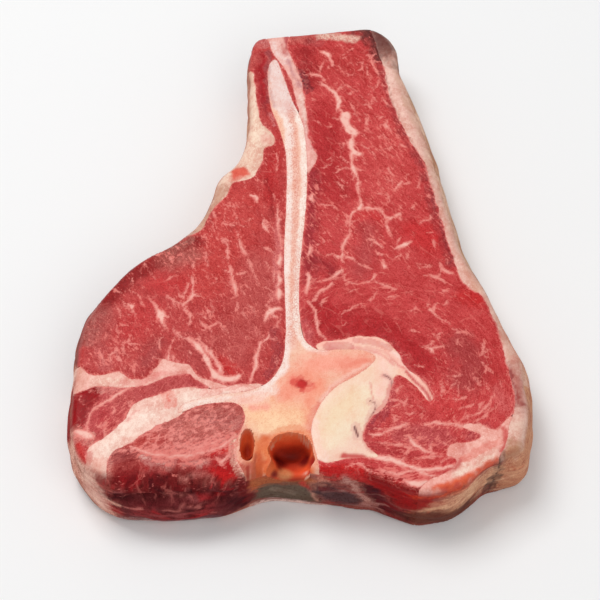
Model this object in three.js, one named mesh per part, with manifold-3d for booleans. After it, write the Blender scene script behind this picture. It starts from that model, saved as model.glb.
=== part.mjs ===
// Raw T-bone steak: one slice cut straight across the loin. A split backbone with its long side
// process stands between the strip loin and the tenderloin, with fat between and around them.
import * as THREE from 'three';
import { mergeVertices } from 'three/addons/utils/BufferGeometryUtils.js';
import Module from 'manifold-3d';

// Sizes in millimetres. X runs to the right, Y towards the far end of the stem, Z up.
const thickness = 28;       // height of the slice
const crown = 0.8;          // how far the cut face rises from its rim to its middle
const rimRound = 3.4;       // height of the rounded upper edge
const footRound = 2.2;      // height of the rounded lower edge
const seamGap = 0.3;        // clearance between neighbouring pieces
const middle = [10, -50];   // every point of the rim can be seen from here
const outlineSteps = 112;   // points round the slice
const seamStep = 3.2;       // spacing of points along a seam
const faceRings = [0, 0.45, 0.75, 0.92];           // shares of the way from the middle to the rim
const wallLevels = [21.6, 19, 16.4, 12, 7, 3.2];   // heights of the points down the wall
const swellSpan = 0.8;      // share of a half wave that the wall's swelling runs through
const nearSide = -60;       // the near wall lies below this Y
const overrun = 10;         // how far the cutting blocks pass the slice, above and below
const origin = [0.24, -0.38];   // point of the drawing below the middle of the whole slice

// Rim of the upper face, anticlockwise. The third number is how far the wall swells out below it.
const rim = [
  [73.5, -90.6, 1], [77.8, -87.4, 3.8], [79.6, -80, 4.2], [80.3, -70, 4.6], [79.6, -61, 5.8],
  [78.2, -53, 6.2],
  [72.9, -36.4, 4.8], [68.6, -22.6, 3.2], [61.8, -8.8, 4.2], [57.8, 1.6, 4.8], [52.8, 22.6, 5.6],
  [47.2, 46.6, 6.2], [40.1, 73, 5.6], [37.8, 85, 3.2], [37.4, 94.6, 2], [34.4, 100.6, 1.6],
  [28.2, 104.1, 1.6],
  [10, 102.3, 1.8], [-10, 100.1, 1.8], [-16.8, 98.6, 1.4], [-19.6, 93, 1.4], [-20.5, 85, 0.8],
  [-19.6, 76, 1.4], [-19.4, 58, 1.6], [-20.2, 47.6, 1.9], [-23.9, 38, 1.8], [-30.2, 29.8, 1.8],
  [-33.4, 19.6, 1.8], [-38.9, 7.8, 1.8], [-46.8, 0, 2], [-60.8, -9.6, 2.2], [-72.2, -23, 2.4],
  [-78.8, -35.4, 2.8], [-80.6, -48, 3.2], [-80.8, -60, 3.2], [-81.6, -72, 3.2], [-80.2, -84, 2.4],
  [-77, -91.5, 2], [-72, -96, 3], [-64, -98, 6.2], [-54, -97, 9.4], [-44, -96, 10.6], [-34, -95.6, 9.8],
  [-26, -96.6, 7.6], [-19.5, -97.4, 1.8], [-10, -95.6, 0.2], [0, -95.6, 0.8], [8, -96.4, 1.6],
  [18, -97.2, 1.6], [27, -99.8, 0], [36, -103.5, 0.4], [44, -105, 0.2], [53, -102.8, 1.8],
  [62, -98.4, -0.8], [68, -93.6, -1.6],
];

// Crevice along the near wall, under an overhanging lip of lean
const crevice = { x: -44, reach: 19, z: 19, height: 2.6, depth: 5 };

// Hollows of the backbone, by centre and half sizes: the marrow canal is deep at the back and
// leaves through the near wall in a shallower trough
const canalBack = { at: [-3.2, -87.2, thickness], half: [7.6, 5.8, 14.5] };
const canalFront = { at: [-3.2, -96, thickness], half: [7.6, 9.8, 7.4] };
const nerveHole = { at: [-18.9, -86.4, thickness], half: [2.4, 5.8, 10] };

// Each seam is a closed smooth line, seen from above. Earlier pieces cut the later ones.
const seams = {
  bone: [
    [-10, 88], [-6.6, 79], [-3.2, 67.5], [0.9, 56], [2.5, 42], [2.5, 22], [1, 1], [-0.2, -14],
    [-0.1, -32], [1.9, -43.4], [6.5, -47.4], [15, -47.3], [23.5, -47.8], [27.6, -50.6], [22, -57],
    [13, -63], [6.8, -71], [4, -80], [5.4, -89], [7.2, -98], [6.6, -112], [-6, -116], [-18.4, -112],
    [-18.8, -98], [-22, -92.6], [-23.3, -88], [-21.6, -82], [-19.6, -76], [-22, -70.2], [-34, -70],
    [-43.6, -73.4], [-41.6, -70], [-30, -66.2], [-18, -64.4], [-11, -60.4], [-6.6, -53], [-5.2, -40],
    [-5.6, -24], [-6, -8], [-5.2, 18], [-5.4, 40], [-8, 53], [-11.4, 64], [-12.8, 77], [-12.2, 85.4],
  ],
  tip_fat: [
    [-13.4, 104], [-9, 108], [-4.6, 104], [-4.9, 94], [-1.2, 82], [1.6, 71], [2.6, 60], [3.5, 49],
    [6.4, 39], [4.6, 34], [1, 30], [-2, 36], [-2, 50], [-0.6, 60], [-2.4, 72], [-6.2, 83], [-10.6, 91],
  ],
  fat_cap: [
    [29.6, 112], [30.4, 96], [33.2, 84], [35.8, 68], [42.6, 48], [47.2, 39], [52.2, 16], [58.6, -11],
    [61, -18.4], [66.8, -23.2], [70, -30.6], [73.2, -42], [75.6, -57], [77.2, -70], [74.8, -78],
    [72.6, -87], [70, -94], [69.4, -108], [80, -116], [98, -104], [100, -60], [84, -16], [70, 30],
    [58, 74], [52, 108], [40, 116],
  ],
  corner_fat: [
    [57.5, -79], [63.6, -77.6], [69.4, -80.6], [74, -76], [78, -73], [84, -84], [80, -110],
    [56, -120], [39, -116], [40.6, -106], [45, -100.4], [54, -95.4], [55, -91.6], [52.4, -90.4],
    [54, -86.2], [60, -85.2], [64.8, -82.6],
  ],
  fat_pad: [
    [6, -45.2], [14, -43.1], [24, -41.6], [31, -43.2], [35.6, -48.6], [39, -55.4], [44.6, -60.4],
    [48.2, -66.8], [46.8, -69.2], [41.6, -62.4], [35.4, -57.8], [32.9, -63], [30.8, -70.2], [24.4, -77],
    [22.5, -83], [24.6, -88.2], [28.4, -91.2], [18, -91.4], [10, -93], [2, -90], [-2, -80], [4, -64],
    [16, -54], [8, -50],
  ],
  seam_fat: [
    [-12, -62.6], [-22, -62.2], [-32, -63.7], [-44, -63.4], [-51.4, -66.2], [-59.6, -70.2],
    [-63.4, -77], [-69.6, -83.4], [-74.8, -87.4], [-75.4, -96], [-78.4, -108], [-74, -118], [-65, -112],
    [-68, -98], [-67, -90], [-60.6, -86], [-52, -79], [-43, -74.6], [-38, -69], [-24, -67], [-14, -66],
  ],
  flank_seam: [
    [-90, -52], [-80.4, -53.4], [-76.4, -57.4], [-72, -58], [-66, -56.6], [-61, -59.6], [-56.4, -59.8],
    [-52.6, -55.8], [-50, -51.4], [-46.8, -52.6], [-40.4, -54], [-37.6, -57.6], [-33.4, -60],
    [-26, -63.2], [-28, -65.2], [-35.4, -61.6], [-40.6, -57.6], [-46.8, -58.6], [-55, -61.8],
    [-64, -63.2], [-73, -62.4], [-80, -65], [-90, -68],
  ],
  edge_fat: [
    [-30, 88], [-21.4, 85.4], [-18.4, 79], [-16.8, 66], [-14.8, 56], [-10.6, 50.6], [-10.2, 45.4],
    [-13.8, 44], [-14.6, 38], [-18.6, 29.6], [-25.6, 27.6], [-28.4, 21.6], [-33.6, 15], [-38, 5],
    [-48, 4], [-44, 40], [-34, 76],
  ],
};

// What no seam claims is lean, one muscle to each of these fields
const muscles = {
  strip_loin: [
    [-8, 120], [-7, 98], [0.6, 72], [1.4, 56], [-1, -30], [6, -66], [0, -94], [0, -130], [110, -130],
    [110, 120],
  ],
  under_lean: [
    [-10, -68], [-20, -67], [-41, -71.4], [-58, -79], [-71, -92], [-72, -130], [-4, -130], [-4, -80],
  ],
  chain_lean: [
    [-100, -59], [-74, -60], [-60, -61.5], [-50, -57], [-40, -55.6], [-36, -60], [-28, -64.4],
    [-40, -68], [-60, -77], [-71, -90], [-72, -130], [-100, -130],
  ],
  tenderloin: [
    [-100, -59], [-74, -60], [-60, -61.5], [-50, -57], [-40, -55.6], [-36, -60], [-28, -64.4],
    [-14, -64.4], [-2, -52], [-2, 56], [0.4, 60], [0, 72], [-7.4, 97], [-8.4, 120], [-100, 120],
  ],
};

const finishes = {
  bone: { color: 0xf2d9c2, roughness: 0.55 },
  fat: { color: 0xf0cdb8, roughness: 0.45 },
  pad: { color: 0xefe0c8, roughness: 0.4 },
  lean: { color: 0xb8323a, roughness: 0.38 },
};

const finishOf = {
  bone: finishes.bone, fat_pad: finishes.pad,
  tip_fat: finishes.fat, fat_cap: finishes.fat, corner_fat: finishes.fat,
  seam_fat: finishes.fat, flank_seam: finishes.fat, edge_fat: finishes.fat,
  strip_loin: finishes.lean, under_lean: finishes.lean, chain_lean: finishes.lean, tenderloin: finishes.lean,
};

const wasm = await Module();
wasm.setup();

// A closed solid from a geometry, with its doubled vertices merged
function solidOf(geometry) {
  geometry.deleteAttribute('normal');
  geometry.deleteAttribute('uv');
  const merged = mergeVertices(geometry, 1e-3);
  return new wasm.Manifold(new wasm.Mesh({
    numProp: 3,
    vertProperties: new Float32Array(merged.attributes.position.array),
    triVerts: new Uint32Array(merged.index.array),
  }));
}

function geometryOf(solid) {
  const { vertProperties, triVerts } = solid.getMesh();
  const geometry = new THREE.BufferGeometry();
  geometry.setAttribute('position', new THREE.BufferAttribute(vertProperties, 3));
  geometry.setIndex(new THREE.BufferAttribute(triVerts, 1));
  geometry.computeVertexNormals();
  return geometry;
}

const smooth = (points) => new THREE.CatmullRomCurve3(points, true, 'centripetal');

// Swelling of the wall, from none at the rim to its most a little below half height
function swellAt(z) {
  const down = (thickness - z) / thickness;
  return Math.sin(swellSpan * Math.PI * down ** 0.9);
}

function creviceAt(x, y, z) {
  if (y > nearSide) return 0;
  const along = Math.exp(-(((x - crevice.x) / crevice.reach) ** 4));
  return -crevice.depth * along * Math.exp(-(((z - crevice.z) / crevice.height) ** 2));
}

// Rows of the slice's surface from the middle of the upper face, over the rim, down the wall and
// back to the middle below. reach is the share of the way out to the rim, inset is measured from it.
function surfaceRows() {
  const faceRow = (reach, z) => ({ reach, inset: 0, z });
  const wallRow = (z, inset = 0) => ({ reach: 1, inset, z });
  const top = faceRings.map((reach) => faceRow(reach, thickness - crown * reach ** 3));
  const edge = [
    wallRow(thickness - crown - 0.3, rimRound * 0.62), wallRow(thickness - crown - 1.2, rimRound * 0.2),
    wallRow(thickness - rimRound),
  ];
  const wall = wallLevels.map((z) => wallRow(z));
  const foot = [wallRow(footRound * 0.3, footRound * 0.4), wallRow(0, footRound)];
  return [...top, ...edge, ...wall, ...foot, faceRow(0.5, 0), faceRow(0, 0)];
}

// The whole slice: the grid of a ball, with its meridians laid along the rows
function slice() {
  const rows = surfaceRows();
  const curve = smooth(rim.map(([x, y, swell]) => new THREE.Vector3(x, y, swell)));
  const edge = curve.getSpacedPoints(outlineSteps);
  const ball = new THREE.SphereGeometry(1, outlineSteps, rows.length - 1);
  const { position } = ball.attributes;
  for (let i = 0; i < position.count; i += 1) {
    const step = i % (outlineSteps + 1);
    const row = rows[Math.floor(i / (outlineSteps + 1))];
    const here = edge[step % outlineSteps];
    const ahead = edge[(step + 1) % outlineSteps];
    const behind = edge[(step + outlineSteps - 1) % outlineSteps];
    const outward = new THREE.Vector2(ahead.y - behind.y, behind.x - ahead.x).normalize();
    const offset = row.reach === 1
      ? here.z * swellAt(row.z) + creviceAt(here.x, here.y, row.z) - row.inset : 0;
    position.setXYZ(
      i,
      middle[0] + (here.x - middle[0]) * row.reach + outward.x * offset,
      middle[1] + (here.y - middle[1]) * row.reach + outward.y * offset,
      row.z,
    );
  }
  return solidOf(ball);
}

// An upright block over a closed outline, pushed out sideways by grow
function blockOver(outline, grow) {
  const count = outline.length;
  const turn = Math.sign(THREE.ShapeUtils.area(outline));
  const grown = outline.map((point, i) => {
    const along = outline[(i + 1) % count].clone().sub(outline[(i + count - 1) % count]).normalize();
    return new THREE.Vector2(point.x + along.y * turn * grow, point.y - along.x * turn * grow);
  });
  const block = new THREE.ExtrudeGeometry(new THREE.Shape(grown), {
    depth: thickness + 2 * overrun, bevelEnabled: false,
  });
  block.translate(0, 0, -overrun);
  return solidOf(block);
}

function seamOutline(points) {
  const curve = smooth(points.map(([x, y]) => new THREE.Vector3(x, y, 0)));
  const steps = Math.round(curve.getLength() / seamStep);
  return curve.getSpacedPoints(steps).slice(0, steps).map((p) => new THREE.Vector2(p.x, p.y));
}

function hollow({ at, half }) {
  const ball = new THREE.SphereGeometry(1, 20, 14);
  ball.scale(...half);
  ball.translate(...at);
  return solidOf(ball);
}

// Cuts the slice along its seams, then shares the rest out among the muscles
function cutPieces() {
  const pieces = {};
  let rest = slice();
  for (const [name, points] of Object.entries(seams)) {
    const outline = seamOutline(points);
    pieces[name] = rest.intersect(blockOver(outline, 0));
    rest = rest.subtract(blockOver(outline, seamGap));
  }
  for (const [name, field] of Object.entries(muscles)) {
    const outline = field.map(([x, y]) => new THREE.Vector2(x, y));
    pieces[name] = rest.intersect(blockOver(outline, 0));
  }
  for (const opening of [canalBack, canalFront, nerveHole]) {
    pieces.bone = pieces.bone.subtract(hollow(opening));
  }
  return pieces;
}

const steak = new THREE.Group();
for (const [name, solid] of Object.entries(cutPieces())) {
  const piece = new THREE.Mesh(geometryOf(solid), new THREE.MeshStandardMaterial(finishOf[name]));
  piece.name = name;
  piece.position.set(-origin[0], -origin[1], 0);
  steak.add(piece);
}

export default steak;
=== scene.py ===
import bpy
import numpy as np
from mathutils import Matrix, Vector


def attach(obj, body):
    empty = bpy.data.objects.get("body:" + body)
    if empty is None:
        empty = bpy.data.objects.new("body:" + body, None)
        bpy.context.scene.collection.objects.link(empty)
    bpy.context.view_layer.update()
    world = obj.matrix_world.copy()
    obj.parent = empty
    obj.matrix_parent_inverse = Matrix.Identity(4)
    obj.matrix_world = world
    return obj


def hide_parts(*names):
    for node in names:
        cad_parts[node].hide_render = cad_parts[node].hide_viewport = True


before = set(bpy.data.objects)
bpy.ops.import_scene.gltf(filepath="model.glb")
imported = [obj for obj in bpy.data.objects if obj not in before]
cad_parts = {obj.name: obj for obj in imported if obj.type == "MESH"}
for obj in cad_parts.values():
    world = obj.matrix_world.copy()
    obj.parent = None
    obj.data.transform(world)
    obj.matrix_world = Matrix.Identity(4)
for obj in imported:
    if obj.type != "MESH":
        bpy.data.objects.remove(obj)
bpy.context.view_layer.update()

# What the whole slice shares, in millimetres
steakSlice = {
    "height": 28.0,
    "crown": 0.8,           # rise of the cut face from its rim to its middle
    "crownReach": 45.0,     # how far inside the rim the rise ends
    "drawnMiddle": (0.24, -0.38),   # point of the drawing that stands over the frame's origin
    "step": 0.57,           # spacing of the surface grid
    "edgeIn": 1.9,          # rounding of the upper edge, inwards and downwards
    "edgeDown": 2.4,
    "footIn": 2.2,          # rounding of the lower edge
    "footUp": 2.0,
    "roll": {               # wider rounding at the near left, and how far the face sags beside it
        "x": -44, "reach": 27, "below": -84, "in": 5.0, "down": 3.4, "sag": 0.9, "sagIn": 9.0,
    },
    "dried": (27, 86),      # beyond these places in x and y the seams don't show
    "wallRows": 28,
    "swellSpan": 0.8,       # share of a half wave in the swelling of the wall
    "swellReach": 9.0,      # how far inside the rim the swelling fades out
    # The walls' colours are darker than the cut face partly from drying and partly as painted shade
    "flankFrom": 26.2,      # height where the walls' own colours start, and over how much
    "flankSoft": 1.8,
    "flankIn": 4,           # how far in from the rim they reach above and below
    "underIn": 3,
}

# Rim of the upper face, anticlockwise, with the swelling of the wall below it as third number
rimPoints = [
    (73.5, -90.6, 1), (77.8, -87.4, 3.8), (79.6, -80, 4.2), (80.3, -70, 4.6), (79.6, -61, 5.8),
    (78.2, -53, 6.2), (72.9, -36.4, 4.8), (68.6, -22.6, 3.2), (61.8, -8.8, 4.2), (57.8, 1.6, 4.8),
    (52.8, 22.6, 5.6), (47.2, 46.6, 6.2), (40.1, 73, 5.6), (37.8, 85, 3.2), (37.4, 94.6, 2),
    (34.4, 100.6, 1.6), (28.2, 104.1, 1.6), (10, 102.3, 1.8), (-10, 100.1, 1.8), (-16.8, 98.6, 1.4),
    (-19.6, 93, 1.4), (-20.5, 85, 0.8), (-19.6, 76, 1.4), (-19.4, 58, 1.6), (-20.2, 47.6, 1.9),
    (-23.9, 38, 1.8), (-30.2, 29.8, 1.8), (-33.4, 19.6, 1.8), (-38.9, 7.8, 1.8), (-46.8, 0, 2),
    (-60.8, -9.6, 2.2), (-72.2, -23, 2.4), (-78.8, -35.4, 2.8), (-80.6, -48, 3.2),
    (-80.8, -60, 3.2),
    (-81.6, -72, 3.2), (-80.2, -84, 2.4), (-77, -91.5, 2), (-72, -96, 3), (-64, -98, 6.2),
    (-54, -97, 9.4), (-44, -96, 10.6), (-34, -95.6, 9.8), (-26, -96.6, 7.6), (-19.5, -97.4, 1.8),
    (-10, -95.6, 0.2), (0, -95.6, 0.8), (8, -96.4, 1.6), (18, -97.2, 1.6), (27, -99.8, 0),
    (36, -103.5, 0.4), (44, -105, 0.2), (53, -102.8, 1.8), (62, -98.4, -0.8), (68, -93.6, -1.6),
]

# Crevice along the near wall: its middle and reach along x, on the walls nearer than "below", its
# height and depth, and noises with amount, size and seed for its rise and fall and for its depth
crevice = {
    "x": -44, "reach": 19, "below": -60, "z": 19.4, "height": 2.0, "depth": 3.4, "mean": 0.8,
    "wander": (1.4, 9.0, 11), "uneven": (0.35, 6.0, 15), "stretch": (0.6, 0.6, 0.3),
}

# The two hollows of the backbone: middle, half widths, depths from place to place along Y, height
# of the floor, the lining's colours from the edge down, its own orange-red turning dark towards the
# floor as painted shade, and spots of colour with radius and place
canal = {
    "at": (-3.2, -87.2), "half": (7.6, 5.6), "front": 0,
    "depths": [(-96, 6.4), (-89, 9.8), (-85, 14.4)], "floor": 13.0,
    "lining": [
        (-0.1, (248, 124, 74)), (0.22, (234, 88, 46)), (0.46, (166, 46, 24)), (0.74, (92, 4, 0)),
    ],
    "spots": [
        ((226, 112, 62), 3.4, -10.4, -94, 24), ((230, 128, 76), 2.6, -11, -89, 26),
        # Near-black spots low in the canal: painted shade
        ((96, 8, 2), 3.2, -7.6, -88.6, 18), ((110, 12, 10), 3, 2.6, -88.6, 19),
        ((170, 36, 34), 2.2, 3.4, -91, 24), ((186, 96, 58), 2.8, -5.2, -95, 21.5),
        ((204, 130, 84), 2.5, -5.4, -94, 20.6), ((236, 150, 130), 1.6, 0.4, -95.8, 22.4),
        ((200, 40, 40), 1.4, 2.8, -95.6, 23.8), ((246, 206, 190), 1, 1.6, -94.6, 22.5),
        # The spots here, dark and low in the canal, are painted shade
        ((90, 8, 2), 2.2, -8.6, -92, 19), ((130, 34, 18), 1.6, -9.4, -94.6, 21.2),
    ],
}
nerveHole = {
    "at": (-18.8, -86.4), "half": (2.7, 6), "front": 5.8,
    "depths": [(-92, 5), (-86, 8.5), (-80, 8.5)], "floor": 18.0,
    "lining": [(-0.1, (236, 140, 100)), (0.2, (232, 114, 64)), (0.6, (178, 58, 30))],
    # The second spot, dark and low in the hole, is painted shade
    "spots": [((236, 178, 140), 1.3, -20.8, -84, 26), ((120, 24, 10), 1.6, -17.8, -89, 22)],
}
pitUneven = (0.14, 4.0, 21)      # unevenness of their edges: amount, size and seed

# Seams between the pieces, each a closed smooth line. Earlier ones cut the later ones.
seams = {
    "bone": [
        (-10, 88), (-6.6, 79), (-3.2, 67.5), (0.9, 56), (2.5, 42), (2.5, 22), (1, 1), (-0.2, -14),
        (-0.1, -32), (1.9, -43.4), (6.5, -47.4), (15, -47.3), (23.5, -47.8), (27.6, -50.6),
        (22, -57),
        (13, -63), (6.8, -71), (4, -80), (5.4, -89), (7.2, -98), (6.6, -112), (-6, -116),
        (-18.4, -112), (-18.8, -98), (-22, -92.6), (-23.3, -88), (-21.6, -82), (-19.6, -76),
        (-22, -70.2), (-34, -70), (-43.6, -73.4), (-41.6, -70), (-30, -66.2), (-18, -64.4),
        (-11, -60.4), (-6.6, -53), (-5.2, -40), (-5.6, -24), (-6, -8), (-5.2, 18), (-5.4, 40),
        (-8, 53), (-11.4, 64), (-12.8, 77), (-12.2, 85.4),
    ],
    "tip_fat": [
        (-13.4, 104), (-9, 108), (-4.6, 104), (-4.9, 94), (-1.2, 82), (1.6, 71), (2.6, 60),
        (3.5, 49),
        (6.4, 39), (4.6, 34), (1, 30), (-2, 36), (-2, 50), (-0.6, 60), (-2.4, 72), (-6.2, 83),
        (-10.6, 91),
    ],
    "fat_cap": [
        (29.6, 112), (30.4, 96), (33.2, 84), (35.8, 68), (42.6, 48), (47.2, 39), (52.2, 16),
        (58.6, -11), (61, -18.4), (66.8, -23.2), (70, -30.6), (73.2, -42), (75.6, -57), (77.2, -70),
        (74.8, -78), (72.6, -87), (70, -94), (69.4, -108), (80, -116), (98, -104), (100, -60),
        (84, -16), (70, 30), (58, 74), (52, 108), (40, 116),
    ],
    "corner_fat": [
        (57.5, -79), (63.6, -77.6), (69.4, -80.6), (74, -76), (78, -73), (84, -84), (80, -110),
        (56, -120), (39, -116), (40.6, -106), (45, -100.4), (54, -95.4), (55, -91.6), (52.4, -90.4),
        (54, -86.2), (60, -85.2), (64.8, -82.6),
    ],
    "fat_pad": [
        (6, -45.2), (14, -43.1), (24, -41.6), (31, -43.2), (35.6, -48.6), (39, -55.4),
        (44.6, -60.4),
        (48.2, -66.8), (46.8, -69.2), (41.6, -62.4), (35.4, -57.8), (32.9, -63), (30.8, -70.2),
        (24.4, -77), (22.5, -83), (24.6, -88.2), (28.4, -91.2), (18, -91.4), (10, -93), (2, -90),
        (-2, -80), (4, -64), (16, -54), (8, -50),
    ],
    "seam_fat": [
        (-12, -62.6), (-22, -62.2), (-32, -63.7), (-44, -63.4), (-51.4, -66.2), (-59.6, -70.2),
        (-63.4, -77), (-69.6, -83.4), (-74.8, -87.4), (-75.4, -96), (-78.4, -108), (-74, -118),
        (-65, -112), (-68, -98), (-67, -90), (-60.6, -86), (-52, -79), (-43, -74.6), (-38, -69),
        (-24, -67), (-14, -66),
    ],
    "flank_seam": [
        (-90, -52), (-80.4, -53.4), (-76.4, -57.4), (-72, -58), (-66, -56.6), (-61, -59.6),
        (-56.4, -59.8), (-52.6, -55.8), (-50, -51.4), (-46.8, -52.6), (-40.4, -54), (-37.6, -57.6),
        (-33.4, -60), (-26, -63.2), (-28, -65.2), (-35.4, -61.6), (-40.6, -57.6), (-46.8, -58.6),
        (-55, -61.8), (-64, -63.2), (-73, -62.4), (-80, -65), (-90, -68),
    ],
    "edge_fat": [
        (-30, 88), (-21.4, 85.4), (-18.4, 79), (-16.8, 66), (-14.8, 56), (-10.6, 50.6),
        (-10.2, 45.4), (-13.8, 44), (-14.6, 38), (-18.6, 29.6), (-25.6, 27.6), (-28.4, 21.6),
        (-33.6, 15), (-38, 5), (-48, 4), (-44, 40), (-34, 76),
    ],
}

# The lean that is left, one muscle to each of these fields, with straight sides
muscles = {
    "strip_loin": [
        (-8, 120), (-7, 98), (0.6, 72), (1.4, 56), (-1, -30), (6, -66), (0, -94), (0, -130),
        (110, -130), (110, 120),
    ],
    "under_lean": [
        (-10, -68), (-20, -67), (-41, -71.4), (-58, -79), (-71, -92), (-72, -130), (-4, -130),
        (-4, -80),
    ],
    "chain_lean": [
        (-100, -59), (-74, -60), (-60, -61.5), (-50, -57), (-40, -55.6), (-36, -60), (-28, -64.4),
        (-40, -68), (-60, -77), (-71, -90), (-72, -130), (-100, -130),
    ],
    "tenderloin": [
        (-100, -59), (-74, -60), (-60, -61.5), (-50, -57), (-40, -55.6), (-36, -60), (-28, -64.4),
        (-14, -64.4), (-2, -52), (-2, 56), (0.4, 60), (0, 72), (-7.4, 97), (-8.4, 120), (-100, 120),
    ],
}

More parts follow.
